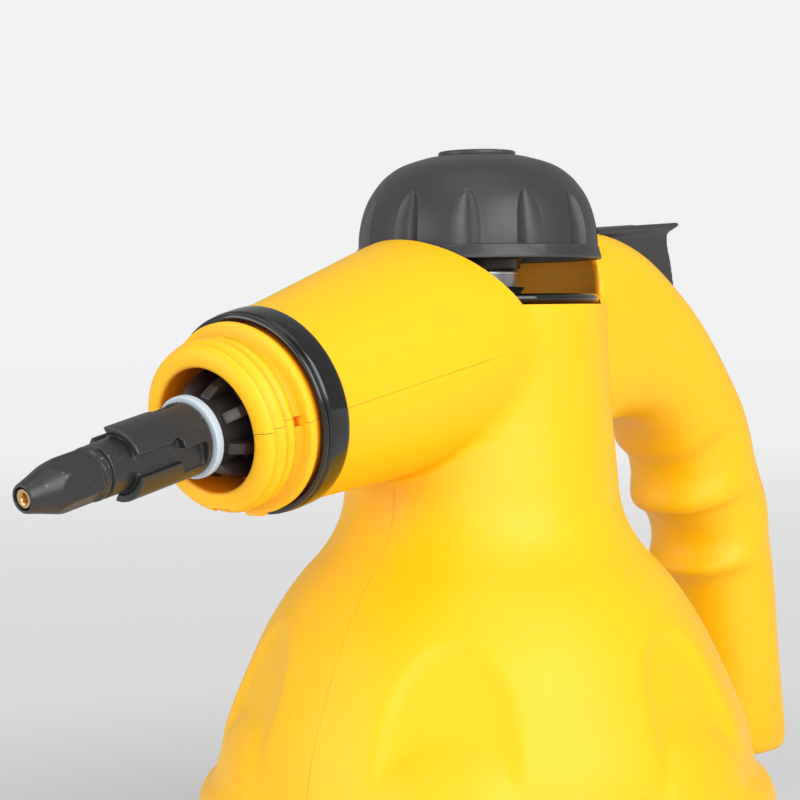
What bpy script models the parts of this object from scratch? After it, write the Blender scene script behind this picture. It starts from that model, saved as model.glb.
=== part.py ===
"""Handheld steam cleaner: a bell-shaped body with a filler cap in a round pocket on its neck,
a sloping barrel with a threaded collar and jet nozzle, and a pistol grip with finger scoops.

+Z is up, the nozzle points to -Y, the grip is at +Y and X = 0 is the seam between the two
housing halves. The origin is on the boiler's axis, on the face that the cleaner stands on.
"""

import math

import bmesh
import bpy
from mathutils import Matrix, Vector

# Clearances, in metres
SEAM_GAP = 0.0003
SEAT_GAP = 0.0003
RUNNING_GAP = 0.0003
OVERRUN = 0.004
OVERLAP = 0.001
WELD_DISTANCE = 0.000001

# Housing
SHELF_HEIGHT = 0.176
BELL_RADIUS = 0.0695
NECK_RADIUS = 0.0313
FOOT_INSET = 0.0035
FOOT_RADIUS = BELL_RADIUS - FOOT_INSET
WALL = 0.0024
POCKET_RADIUS = 0.0321
POCKET_DEPTH = 0.060
SHELF_THICKNESS = 0.0026
PANEL_TOP = 0.101
PANEL_SPRING = 0.082
PANEL_DEPTH = 0.0030
PANEL_SCOOP = 0.0008
LOBE_CENTRE_HEIGHT = 0.043
LOBE_CENTRE_INSET = 0.0105
LOBE_CENTRE_RADIUS = BELL_RADIUS - LOBE_CENTRE_INSET
LOBE_DEPTH = 0.0138
LOBE_HALF_WIDTH = 0.0240
LOBE_HALF_HEIGHT = 0.033
LOBE_FOOT = 0.012

# Height and flare along the body, as shares of the shelf's height and of bell less neck
BODY_SHARES = (
    (1.000, 0.000), (0.880, 0.020), (0.780, 0.055), (0.723, 0.081), (0.688, 0.140),
    (0.660, 0.225), (0.630, 0.354), (0.594, 0.479), (0.540, 0.625), (0.440, 0.830),
    (0.385, 0.895), (0.307, 0.950), (0.220, 0.983), (0.140, 1.000), (0.070, 0.985),
)
PANEL_COUNT = 6
PANEL_HALF_ANGLE = math.radians(14)
FLAT_ANGLE = math.radians(0.4)

# Barrel, whose axis drops towards the nozzle
BARREL_AXIS_DROP = 0.0058
BARREL_AXIS_HEIGHT = SHELF_HEIGHT - BARREL_AXIS_DROP
BARREL_DROP = math.radians(12)
BARREL_LENGTH = 0.0762
BARREL_ROOT_RADIUS = 0.0285
BARREL_MOUTH_RADIUS = 0.0211
BARREL_INSET = 0.006
# Length along the barrel and taper, as shares of its length and of root less mouth radius
BARREL_SHARES = ((0.00, 0.00), (0.16, 0.02), (0.36, 0.11), (0.57, 0.36), (0.78, 0.66), (1.00, 1.00))
SPIGOT_RADIUS = 0.0192
SPIGOT_BORE = 0.0168
SPIGOT_LENGTH = 0.0036
SPIGOT_LIP_BORE = 0.0150
SPIGOT_LIP_LENGTH = 0.0037
SPIGOT_SOCKET_DEPTH = 0.0053

# Grip and bridge behind the neck
GRIP_LENGTH = 0.131
GRIP_DROP = 0.1295
GRIP_HALF_WIDTH = 0.0172
GRIP_END_WALL = 0.0042
# Outer and inner outline in the seam plane: reach and height at each, as shares of the
# grip's reach and drop, then the half-width share and how square the section is
GRIP_SHARES = (
    (0.122, 0.154, 0.122, -0.232, 1.06, 4.0),
    (0.260, 0.157, 0.275, -0.255, 1.05, 4.0),
    (0.351, 0.149, 0.359, -0.239, 1.04, 4.0),
    (0.443, 0.120, 0.427, -0.236, 1.03, 3.8),
    (0.534, 0.069, 0.481, -0.243, 1.02, 3.5),
    (0.618, 0.011, 0.527, -0.266, 1.01, 3.2),
    (0.695, -0.058, 0.562, -0.297, 1.00, 2.9),
    (0.760, -0.127, 0.581, -0.324, 1.00, 2.7),
    (0.811, -0.193, 0.609, -0.346, 1.00, 2.5),
    (0.850, -0.259, 0.624, -0.390, 1.00, 2.4),
    (0.878, -0.320, 0.619, -0.443, 1.00, 2.3),
    (0.897, -0.367, 0.660, -0.463, 0.99, 2.3),
    (0.915, -0.413, 0.698, -0.502, 0.99, 2.3),
    (0.927, -0.459, 0.704, -0.544, 0.99, 2.2),
    (0.937, -0.506, 0.687, -0.582, 0.99, 2.2),
    (0.945, -0.556, 0.721, -0.614, 0.98, 2.2),
    (0.954, -0.625, 0.740, -0.672, 0.97, 2.2),
    (0.964, -0.710, 0.752, -0.749, 0.95, 2.2),
    (0.974, -0.803, 0.762, -0.826, 0.93, 2.2),
    (0.985, -0.896, 0.771, -0.907, 0.90, 2.2),
    (0.992, -0.958, 0.783, -0.964, 0.86, 2.3),
    (0.971, -1.000, 0.813, -1.000, 0.70, 2.4),
)

# Base cover and its screws
BASE_THICKNESS = 0.0030
BASE_SPIGOT_INSET = 0.0070
BASE_SPIGOT_RADIUS = FOOT_RADIUS - BASE_SPIGOT_INSET
BASE_SPIGOT_WALL = 0.0022
BASE_SPIGOT_HEIGHT = 0.0100
PILLAR_RADIUS = 0.0045
PILLAR_COUNT = 3
SCREW_HEAD_RADIUS = 0.0030
SCREW_HEAD_HEIGHT = 0.0022
SCREW_RADIUS = 0.0015
BASE_SCREW_LENGTH = 0.016
BASE_SCREW_RECESS = 0.0010

# Boiler
BOILER_BOTTOM = 0.022
BOILER_FLANGE_INSET = 0.0150
BOILER_FLANGE_RADIUS = BELL_RADIUS - BOILER_FLANGE_INSET
BOILER_FLANGE_WIDTH = 0.0115
BOILER_RADIUS = BOILER_FLANGE_RADIUS - BOILER_FLANGE_WIDTH
PILLAR_INSET = 0.0055
PILLAR_PITCH_RADIUS = BOILER_FLANGE_RADIUS - PILLAR_INSET
BOILER_WALL = 0.0032
BOILER_FLANGE_THICKNESS = 0.0040
BOILER_JOINT = 0.066
BOILER_DOME_DROP = 0.0590
BOILER_DOME_TOP = SHELF_HEIGHT - BOILER_DOME_DROP
BOILER_SHOULDER_SHARE = 0.3137
BOILER_SHOULDER = BOILER_JOINT + (BOILER_DOME_TOP - BOILER_JOINT) * BOILER_SHOULDER_SHARE
BOILER_NECK_RADIUS = 0.0140
BOILER_NECK_BORE = 0.0099
BOILER_NECK_DROP = 0.0060
BOILER_NECK_TOP = SHELF_HEIGHT - BOILER_NECK_DROP
BOILER_GASKET_THICKNESS = 0.0012
BOILER_SCREW_LENGTH = 0.022
STEAM_PORT_OFFSET = 0.0225
STEAM_PORT_RISE = 0.0040
STEAM_PORT_TOP = BOILER_DOME_TOP + STEAM_PORT_RISE
PORT_RADIUS = 0.0034
PORT_BORE = 0.0014

# Heater and safety parts under the boiler
HEATER_INSET = 0.0150
HEATER_RADIUS = BOILER_RADIUS - HEATER_INSET
HEATER_TUBE_RADIUS = 0.0032
HEATER_LEG = 0.0060
HEATER_OPENING = math.radians(50)
THERMOSTAT_RADIUS = 0.0080
THERMOSTAT_HEIGHT = 0.0055
THERMOSTAT_TAB_LENGTH = 0.022
THERMOSTAT_TAB_WIDTH = 0.005
THERMOSTAT_TAB_THICKNESS = 0.0008
FUSE_RADIUS = 0.0024
FUSE_LENGTH = 0.016
FUSE_OFFSET = (HEATER_RADIUS + HEATER_TUBE_RADIUS + BOILER_RADIUS - BOILER_WALL) / 2
TERMINAL_LENGTH = 0.032
TERMINAL_WIDTH = 0.013
TERMINAL_HEIGHT = 0.0080
TERMINAL_INSET = 0.0190
TERMINAL_OFFSET = BASE_SPIGOT_RADIUS - TERMINAL_INSET
TERMINAL_SCREW_RADIUS = 0.0020
TERMINAL_COUNT = 3

# Filler neck, plate and gasket on the shelf
FILLER_RADIUS = 0.0094
FILLER_BORE = 0.0072
FILLER_PROUD = 0.0086
FILLER_TOP = SHELF_HEIGHT + FILLER_PROUD
FILLER_DEPTH = 0.0260
FILLER_BOTTOM = SHELF_HEIGHT - FILLER_DEPTH
FILLER_FLANGE_RADIUS = 0.0128
FILLER_FLANGE_THICKNESS = 0.0026
PLATE_RADIUS = 0.0295
PLATE_HEIGHT = 0.0026
PLATE_DISH = 0.0010
PLATE_RIM = 0.0034
GASKET_RADIUS = 0.0112
GASKET_HEIGHT = 0.0026

# Cap
CAP_RADIUS = 0.0300
CAP_LIP_RADIUS = 0.0303
CAP_STANDOFF = 0.0110
CAP_BOTTOM = SHELF_HEIGHT + CAP_STANDOFF
CAP_HEIGHT = 0.0263
CAP_TOP = CAP_BOTTOM + CAP_HEIGHT
CAP_LIP_HEIGHT = 0.0033
CAP_WALL = 0.0024
SCALLOP_COUNT = 12
SCALLOP_PHASE = math.radians(2)
SCALLOP_HALF_ANGLE = math.radians(6.7)
SCALLOP_DEPTH = 0.0016
SCALLOP_HEIGHT = 0.0140
SCALLOP_FLOOR_SHARE = 0.45
# Height above the lip and radius, as shares of the dome's height and of the cap's radius
DOME_SHARES = (
    (0.00, 0.985), (0.16, 0.977), (0.34, 0.948), (0.50, 0.902), (0.64, 0.835), (0.76, 0.752),
    (0.87, 0.625), (0.95, 0.435), (1.00, 0.000),
)
DISC_RADIUS = 0.0095
DISC_THICKNESS = 0.0016
DISC_PROUD = 0.0006
DISC_ROUND = 0.0006
WELL_RADIUS = 0.0062
WELL_DEPTH = 0.0081
WELL_FLOOR = CAP_TOP - WELL_DEPTH
WELL_FLOOR_THICKNESS = 0.0030
HUB_WALL = 0.0023
RETAINER_HEAD_RADIUS = 0.0056
RETAINER_HEAD_HEIGHT = 0.0026
RETAINER_RADIUS = 0.0027
RETAINER_LENGTH = 0.0147
RETAINER_BOTTOM = WELL_FLOOR - RETAINER_LENGTH
PRESS_TRAVEL = 0.0030

# Plug, its seal and the relief valve in it
SEAL_THICKNESS = 0.0013
SEAL_INNER_RADIUS = 0.0070
PLUG_FLANGE_RADIUS = 0.0122
PLUG_FLANGE_THICKNESS = 0.0023
PLUG_BOSS_RADIUS = 0.0090
PLUG_BOSS_GAP = 0.0007
PLUG_BOSS_TOP = WELL_FLOOR - WELL_FLOOR_THICKNESS - PRESS_TRAVEL - PLUG_BOSS_GAP
PLUG_STEM_RADIUS = 0.0066
PLUG_DEPTH = 0.0191
PLUG_BOTTOM = FILLER_TOP - PLUG_DEPTH
RELIEF_BORE = 0.0040
RELIEF_SEAT_RADIUS = 0.0022
RELIEF_SEAT_THICKNESS = 0.0018
RELIEF_ROOM = 0.0160
POPPET_RADIUS = 0.0036
POPPET_THICKNESS = 0.0020
POPPET_STEM_RADIUS = 0.0012
POPPET_STEM_LENGTH = 0.0080
RELIEF_WIRE = 0.00045
RELIEF_TURNS = 6
CAP_SPRING_RADIUS = 0.0112
CAP_SPRING_WIRE = 0.0008
CAP_SPRING_TURNS = 5

# Collar, band and socket, along the barrel's axis
BAND_RADIUS = 0.0222
BAND_BORE = 0.0195
BAND_LENGTH = 0.0081
BAND_LIP = 0.0012
BAND_GROOVE = 0.0005
COLLAR_BORE = 0.0136
COLLAR_CORE_RADIUS = 0.0180
COLLAR_RIDGE = 0.0016
COLLAR_RIDGE_COUNT = 3
COLLAR_RIDGE_PITCH = 0.0026
COLLAR_RIDGE_WIDTH = 0.0024
COLLAR_STEP = 0.0007
COLLAR_FLANGE_RADIUS = 0.0212
COLLAR_FLANGE_THICKNESS = 0.0024
COLLAR_LENGTH = 0.0170
COLLAR_NOSE_RADIUS = 0.0170
COLLAR_NOTCH_WIDTH = 0.0050
COLLAR_NOTCH_HEIGHT = 0.0040
COLLAR_NOTCH_DEPTH = 0.0026
SOCKET_FLANGE_RADIUS = 0.0165
SOCKET_FLANGE_THICKNESS = 0.0048
SOCKET_CORE_RADIUS = 0.0088
SOCKET_RIB_RADIUS = 0.0127
SOCKET_RIB_WIDTH = 0.0026
SOCKET_RIB_COUNT = 8
SOCKET_PROUD = 0.0153
SOCKET_FRONT = BARREL_LENGTH + SOCKET_PROUD
SOCKET_REAR_HOSE = 0.0042
SOCKET_BORE = 0.0056

# Nozzle, along the barrel's axis
NOZZLE_STUB_LENGTH = 0.0135
NOZZLE_REAR = SOCKET_FRONT - NOZZLE_STUB_LENGTH
NOZZLE_STUB_RADIUS = 0.0050
NOZZLE_BORE = 0.0016
NOZZLE_SHOULDER_RADIUS = 0.0080
NOZZLE_SHOULDER_LENGTH = 0.0088
NOZZLE_RING_START = SOCKET_FRONT + NOZZLE_SHOULDER_LENGTH
NOZZLE_RING_LENGTH = 0.0026
NOZZLE_GROOVE_RADIUS = 0.0066
RING_RADIUS = 0.0090
NOZZLE_SLEEVE_RADIUS = 0.0079
NOZZLE_SLEEVE_LENGTH = 0.0202
NOZZLE_SLEEVE_END = NOZZLE_RING_START + NOZZLE_SLEEVE_LENGTH
NOZZLE_WAIST_RADIUS = 0.0058
NOZZLE_WAIST_LENGTH = 0.0080
NOZZLE_WAIST_END = NOZZLE_SLEEVE_END + NOZZLE_WAIST_LENGTH
NOZZLE_HEX_RADIUS = 0.0074
NOZZLE_HEX_FLAT = 0.0063
NOZZLE_HEX_LENGTH = 0.0090
NOZZLE_HEX_END = NOZZLE_WAIST_END + NOZZLE_HEX_LENGTH
NOZZLE_CONE_LENGTH = 0.0103
NOZZLE_TIP = NOZZLE_HEX_END + NOZZLE_CONE_LENGTH
NOZZLE_TIP_RADIUS = 0.0031
NOZZLE_EDGE = 0.0005
NOZZLE_SIDES = 6
SLOT_WIDTH = 0.0034
SLOT_DEPTH = 0.0017
SLOT_LENGTH = 0.0110
SLOT_HOOK = 0.0061
JET_RADIUS = 0.0021
JET_LENGTH = 0.0060
JET_BORE = 0.0008
JET_RECESS = 0.0004

# Trigger, in the seam plane and above the shelf
TRIGGER_PIVOT_INSET = 0.0040
TRIGGER_PIVOT_RISE = 0.0110
TRIGGER_PIN_RADIUS = 0.0015
TRIGGER_BOSS_RADIUS = 0.0036
TRIGGER_HALF_WIDTH = 0.0080
TRIGGER_FRONT_SHARE = 0.31298
TRIGGER_FRONT = GRIP_LENGTH * TRIGGER_FRONT_SHARE
TRIGGER_PIVOT_OFFSET = TRIGGER_FRONT + TRIGGER_PIVOT_INSET
TRIGGER_LENGTH = 0.0392
TRIGGER_LIP_HEIGHT = 0.0223
TRIGGER_TOP_HEIGHT = 0.0195
TRIGGER_PLATE = 0.0042
TRIGGER_SKIRT_DROP = 0.0250
TRIGGER_SKIRT_WALL = 0.0034
# Place along the lever, then height: as shares of the lip's rise, or of the skirt's drop
TRIGGER_TOP_SHARES = ((0.00, 0.00), (0.30, 0.02), (0.62, 0.20), (0.85, 0.62), (0.97, 1.00))
TRIGGER_REAR_SHARES = ((1.00, 0.04), (0.92, 0.07), (0.885, 0.14), (0.895, 0.28), (0.94, 0.50), (1.00, 1.00))
TRIGGER_SKIRT_SHARES = ((1.00, 1.00), (0.93, 0.55), (0.885, 0.32))
TRIGGER_UNDER_SHARES = (0.694, 0.27)
TRIGGER_TRAVEL = math.radians(7)
SLOT_FRONT_GAP = 0.0008
SLOT_REAR_GAP = 0.0010
SLOT_SIDE_GAP = 0.0006
SLOT_CUT_DEPTH = 0.0080
SLOT_CUT_HEIGHT = 0.040
PIN_BOSS_RADIUS = 0.0038
PIN_LENGTH = 0.0250

# Steam valve under the trigger
VALVE_INSET = 0.0170
VALVE_OFFSET = TRIGGER_FRONT + VALVE_INSET
VALVE_RADIUS = 0.0085
VALVE_TOP_DROP = 0.0020
VALVE_HEIGHT = 0.0240
VALVE_EAR_SPAN = 0.0282
VALVE_EAR_WIDTH = 0.0080
VALVE_EAR_HEIGHT = 0.0060
VALVE_EAR_DROP = 0.0170
VALVE_BORE = 0.0029
VALVE_BORE_DEPTH = 0.0160
PLUNGER_RADIUS = 0.0025
PLUNGER_DEPTH = 0.0100
VALVE_SPRING_RADIUS = 0.0048
VALVE_SPRING_WIRE = 0.0006
VALVE_SPRING_TURNS = 5
INLET_DROP = 0.0200
OUTLET_DROP = 0.0075
NIPPLE_LENGTH = 0.0030
HOSE_RADIUS = 0.0026
# The hose from the boiler, as shares of the way back and up to the valve's inlet
HOSE_IN_SHARES = ((0.00, 0.00), (0.00, 0.30), (0.04, 0.62), (0.28, 0.91), (0.70, 1.00), (1.00, 1.00))
# The hose round the neck: shares of the way aside, of the way back or forward, and of the fall
HOSE_REAR_SHARES = (
    (0.00, 1.00, 0.00), (0.00, 0.95, 0.00), (0.00, 0.89, 0.00), (0.30, 0.68, 0.02), (0.69, 0.43, 0.08),
    (0.98, 0.12, 0.20),
)
HOSE_FRONT_SHARES = ((0.86, 0.30, 0.45), (0.34, 0.66, 0.80), (0.00, 0.91, 0.95), (0.00, 1.00, 1.00))

# Housing screws and the cord inlet
HOUSING_BOSS_RADIUS = 0.0042
HOUSING_SCREW_INSET = 0.0080
HOUSING_SCREW_LENGTH = 0.0150
INLET_SHARE = 0.88931
INLET_OFFSET = GRIP_LENGTH * INLET_SHARE
INLET_FLANGE_RADIUS = 0.0064
INLET_FLANGE_THICKNESS = 0.0016
INLET_NECK_RADIUS = 0.0050
INLET_NECK_LENGTH = 0.0070
INLET_BORE = 0.0036
# Places of the housing screws in the seam plane, as shares of the grip's reach and drop
HOUSING_SCREW_SHARES = ((-0.300, -0.245), (0.560, -0.140), (0.790, -0.370), (0.865, -0.800))

FINE = 34
ROUND = 22
SMALL = 12
TINY = 10
FULL_TURN = 2 * math.pi
SHARP = math.radians(28)


def clear_scene():
    for obj in list(bpy.data.objects):
        bpy.data.objects.remove(obj, do_unlink=True)


def material(name, colour, roughness, metallic=0.0):
    """A plain finish, its colour given as an sRGB hex value."""
    made = bpy.data.materials.new(name)
    made.use_nodes = True
    shader = made.node_tree.nodes["Principled BSDF"]
    channels = [int(colour[i : i + 2], 16) / 255 for i in (0, 2, 4)]
    linear = [c / 12.92 if c <= 0.04045 else ((c + 0.055) / 1.055) ** 2.4 for c in channels]
    shader.inputs["Base Color"].default_value = (*linear, 1.0)
    shader.inputs["Roughness"].default_value = roughness
    shader.inputs["Metallic"].default_value = metallic
    made.diffuse_color = (*linear, 1.0)
    return made


def add_object(name, bm, finish=None):
    bmesh.ops.recalc_face_normals(bm, faces=bm.faces)
    if bm.calc_volume(signed=True) < 0:
        bmesh.ops.reverse_faces(bm, faces=bm.faces)
    mesh = bpy.data.meshes.new(name)
    bm.to_mesh(mesh)
    bm.free()
    if finish:
        mesh.materials.append(finish)
    obj = bpy.data.objects.new(name, mesh)
    bpy.context.scene.collection.objects.link(obj)
    return obj


def finished(obj, finish=None, angle=SHARP):
    """Smooth shading with the edges that are sharper than the angle kept crisp."""
    if finish:
        obj.data.materials.clear()
        obj.data.materials.append(finish)
    obj.data.shade_smooth()
    obj.data.set_sharp_from_angle(angle=angle)
    return obj


def combine(obj, tool, operation, solver="EXACT"):
    """Joins, cuts or keeps what a tool shape covers, then removes the tool."""
    step = obj.modifiers.new(operation.lower(), "BOOLEAN")
    step.operation = operation
    step.solver = solver
    step.object = tool
    bpy.context.view_layer.update()
    graph = bpy.context.evaluated_depsgraph_get()
    result = bpy.data.meshes.new_from_object(obj.evaluated_get(graph))
    obj.modifiers.remove(step)
    obj.data = result
    bpy.data.objects.remove(tool, do_unlink=True)
    bm = bmesh.new()
    bm.from_mesh(result)
    bmesh.ops.triangulate(bm, faces=[face for face in bm.faces if len(face.verts) > 4])
    bm.to_mesh(result)
    bm.free()
    return obj


def moved(obj, place):
    """Moves the shape itself, so that the object's own origin stays where it is."""
    obj.data.transform(place)
    return obj


def turned(name, outline, steps=ROUND, finish=None):
    """A solid of revolution about Z from (radius, height) points."""
    bm = bmesh.new()
    verts = [bm.verts.new((radius, 0, height)) for radius, height in outline]
    pairs = list(zip(verts, verts[1:]))
    if outline[0][0] > 0:
        pairs.append((verts[-1], verts[0]))
    edges = [bm.edges.new(pair) for pair in pairs]
    bmesh.ops.spin(
        bm, geom=verts + edges, cent=(0, 0, 0), axis=(0, 0, 1), angle=FULL_TURN, steps=steps, use_merge=True
    )
    bmesh.ops.remove_doubles(bm, verts=bm.verts, dist=WELD_DISTANCE)
    return add_object(name, bm, finish)


def rod(name, radius, start, end, steps=SMALL, finish=None):
    """A plain cylinder between two points."""
    start, end = Vector(start), Vector(end)
    along = end - start
    bm = bmesh.new()
    bmesh.ops.create_cone(
        bm, cap_ends=True, segments=steps, radius1=radius, radius2=radius, depth=along.length
    )
    turn = along.to_track_quat("Z", "Y").to_matrix().to_4x4()
    bm.transform(Matrix.Translation((start + end) / 2) @ turn)
    return add_object(name, bm, finish)


def block(name, low, high, finish=None):
    """A box between two corners."""
    low, high = Vector(low), Vector(high)
    bm = bmesh.new()
    bmesh.ops.create_cube(bm, size=1)
    bm.transform(Matrix.Translation((low + high) / 2) @ Matrix.Diagonal((*(high - low), 1)))
    return add_object(name, bm, finish)


def skin(name, place, around, along, finish=None):
    """A closed tube whose points are place(column, row), with both ends filled."""
    bm = bmesh.new()
    bmesh.ops.create_grid(bm, x_segments=around, y_segments=along, size=0.5)
    for vert in bm.verts:
        column = round((vert.co.x + 0.5) * around) % around
        row = round((vert.co.y + 0.5) * along)
        vert.co = place(column, row)
    bmesh.ops.remove_doubles(bm, verts=bm.verts, dist=WELD_DISTANCE)
    rims = [edge for edge in bm.edges if edge.is_boundary]
    bmesh.ops.holes_fill(bm, edges=rims, sides=0)
    return add_object(name, bm, finish)


def prism(name, outline, low, high, finish=None):
    """A (y, z) outline drawn out along X."""
    bm = bmesh.new()
    face = bm.faces.new([bm.verts.new((low, y, z)) for y, z in outline])
    drawn = bmesh.ops.extrude_face_region(bm, geom=[face])["geom"]
    bmesh.ops.translate(
        bm, verts=[v for v in drawn if isinstance(v, bmesh.types.BMVert)], vec=(high - low, 0, 0)
    )
    return add_object(name, bm, finish)


def spline(points, spans):
    """Points on a smooth line through the given ones, with as many steps in each span."""
    line = []
    count = len(points)
    for i in range(count - 1):
        a, b = points[max(i - 1, 0)], points[i]
        c, d = points[i + 1], points[min(i + 2, count - 1)]
        for k in range(spans):
            t = k / spans
            line.append(
                tuple(
                    0.5 * (2 * q + (r - p) * t + (2 * p - 5 * q + 4 * r - s) * t**2
                           + (3 * q - p - 3 * r + s) * t**3)
                    for p, q, r, s in zip(a, b, c, d)
                )
            )
    line.append(tuple(points[-1]))
    return line


def tube(name, points, radius, finish, resolution=1):
    """A round tube along a line of points, as a curve with filled ends."""
    curve = bpy.data.curves.new(name, "CURVE")
    curve.dimensions = "3D"
    curve.bevel_depth = radius
    curve.bevel_resolution = resolution
    curve.use_fill_caps = True
    line = curve.splines.new("POLY")
    line.points.add(len(points) - 1)
    for spot, point in zip(line.points, points):
        spot.co = (*point, 1)
    curve.materials.append(finish)
    obj = bpy.data.objects.new(name, curve)
    bpy.context.scene.collection.objects.link(obj)
    return obj


def coil(name, centre, radius, wire, bottom, top, turns, finish):
    """A compression spring about a vertical axis, its ends half a wire inside its height."""
    per_turn = 8
    count = turns * per_turn
    low, high = bottom + wire, top - wire
    points = []
    for i in range(count + 1):
        angle = FULL_TURN * i / per_turn
        height = low + (high - low) * i / count
        points.append(
            (centre[0] + radius * math.cos(angle), centre[1] + radius * math.sin(angle), height)
        )
    return tube(name, points, wire, finish, resolution=0)


def on_barrel(obj):
    """Stands a piece that was drawn about Z on the barrel's sloping axis."""
    obj.location = (0, 0, BARREL_AXIS_HEIGHT)
    obj.rotation_euler = (math.pi / 2 + BARREL_DROP, 0, 0)
    return obj


def barrel_place():
    return Matrix.Translation((0, 0, BARREL_AXIS_HEIGHT)) @ Matrix.Rotation(
        math.pi / 2 + BARREL_DROP, 4, "X"
    )


def body_line():
    """(height, radius) of the plain body, from its foot to the shelf."""
    flare = BELL_RADIUS - NECK_RADIUS
    marks = [(SHELF_HEIGHT + OVERRUN, NECK_RADIUS)]
    marks += [(high * SHELF_HEIGHT, NECK_RADIUS + share * flare) for high, share in BODY_SHARES[1:]]
    marks.append((BASE_THICKNESS + SEAT_GAP, FOOT_RADIUS))
    return marks[::-1]


def body_radius(height):
    line = body_line()
    for (low, first), (high, second) in zip(line, line[1:]):
        if height <= high:
            return first + (second - first) * (height - low) / (high - low)
    return line[-1][1]


def panel_half_angle(height):
    """Half the angle between the columns beside a panel's middle, at a height."""
    if height <= PANEL_SPRING:
        return PANEL_HALF_ANGLE
    rise = (height - PANEL_SPRING) / (PANEL_TOP - PANEL_SPRING)
    if rise <= 1:
        return max(PANEL_HALF_ANGLE * math.sqrt(max(1 - rise**2, 0)), FLAT_ANGLE)
    return min(FLAT_ANGLE + (rise - 1) * PANEL_HALF_ANGLE / 2, PANEL_HALF_ANGLE / 2)


def bell():
    """The body with its six flat arched panels: the rows follow the arches."""
    arch_rows = [
        PANEL_SPRING + (PANEL_TOP - PANEL_SPRING) * math.sin(math.radians(angle)) for angle in (0, 32, 56, 76, 90)
    ]
    rows = sorted([high for high, _ in body_line() if not PANEL_SPRING <= high <= PANEL_TOP] + arch_rows)
    sector = FULL_TURN / PANEL_COUNT
    per_sector = 8
    flank = 3

    def place(column, row):
        height = rows[row]
        panel, step = divmod(column, per_sector)
        half = panel_half_angle(height)
        if step <= flank:
            angle = -sector / 2 + (sector / 2 - half) * step / flank
        elif step <= per_sector - flank:
            angle = -half + 2 * half * (step - flank) / (per_sector - 2 * flank)
        else:
            angle = half + (sector / 2 - half) * (step - per_sector + flank) / flank
        radius = body_radius(height)
        if abs(angle) < half and height <= PANEL_TOP:
            radius *= math.cos(half) / math.cos(angle)
            radius -= PANEL_SCOOP * (1 - abs(angle) / half) * half / PANEL_HALF_ANGLE
        heading = sector * (panel + 0.5) + angle
        return Vector((radius * math.sin(heading), -radius * math.cos(heading), height))

    return skin("bell", place, PANEL_COUNT * per_sector, len(rows) - 1)


def lobes():
    """The rounded foot under each panel."""
    made = []
    for index in range(PANEL_COUNT):
        heading = FULL_TURN / PANEL_COUNT * (index + 0.5)
        bm = bmesh.new()
        bmesh.ops.create_uvsphere(bm, u_segments=10, v_segments=8, radius=1)
        bm.transform(
            Matrix.Rotation(heading, 4, "Z")
            @ Matrix.Translation((0, -LOBE_CENTRE_RADIUS, LOBE_CENTRE_HEIGHT))
            @ Matrix.Diagonal((LOBE_HALF_WIDTH, LOBE_DEPTH, LOBE_HALF_HEIGHT, 1))
        )
        made.append(add_object("lobe", bm))
    return made


def barrel_solid(inset, rear, front, mouth, steps):
    """The barrel drawn in by an inset, from a place on its axis to its front or its mouth."""
    marks = [
        (share * BARREL_LENGTH, BARREL_ROOT_RADIUS - taper * (BARREL_ROOT_RADIUS - BARREL_MOUTH_RADIUS))
        for share, taper in BARREL_SHARES
    ]
    outline = [(0, rear), (marks[0][1] - inset, rear)]
    outline += [(radius - inset, along) for along, radius in marks[:-1] if rear < along < front]
    outline.append((marks[-1][1] - inset, front))
    outline += mouth
    outline.append((0, outline[-1][1]))
    return moved(turned("barrel", outline, steps), barrel_place())


def grip_stations():
    """(outer point, inner point, half-width, squareness) down the grip, in the seam plane."""
    for outer_y, outer_z, inner_y, inner_z, width, square in GRIP_SHARES:
        yield (
            Vector((0, outer_y * GRIP_LENGTH, SHELF_HEIGHT + outer_z * GRIP_DROP)),
            Vector((0, inner_y * GRIP_LENGTH, SHELF_HEIGHT + inner_z * GRIP_DROP)),
            width * GRIP_HALF_WIDTH,
            square,
        )


def grip_solid(inset, around, stride=1, drop=0):
    """The bridge and grip as a skin of rounded sections, drawn in by an inset."""
    rows = list(grip_stations())[::stride]
    if drop:
        lowest = SHELF_HEIGHT - GRIP_DROP + drop
        rows = [row for row in rows if (row[0].z + row[1].z) / 2 > lowest]

    def place(column, row):
        outer, inner, half_width, square = rows[row]
        centre = (outer + inner) / 2
        across = (outer - inner) / 2
        depth = across.length - inset
        angle = FULL_TURN * column / around
        x, y = math.cos(angle), math.sin(angle)
        power = 2 / square
        x = math.copysign(abs(x) ** power, x)
        y = math.copysign(abs(y) ** power, y)
        return centre + Vector(((half_width - inset) * x, 0, 0)) + across.normalized() * depth * y

    return skin("grip", place, around, len(rows) - 1)


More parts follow.
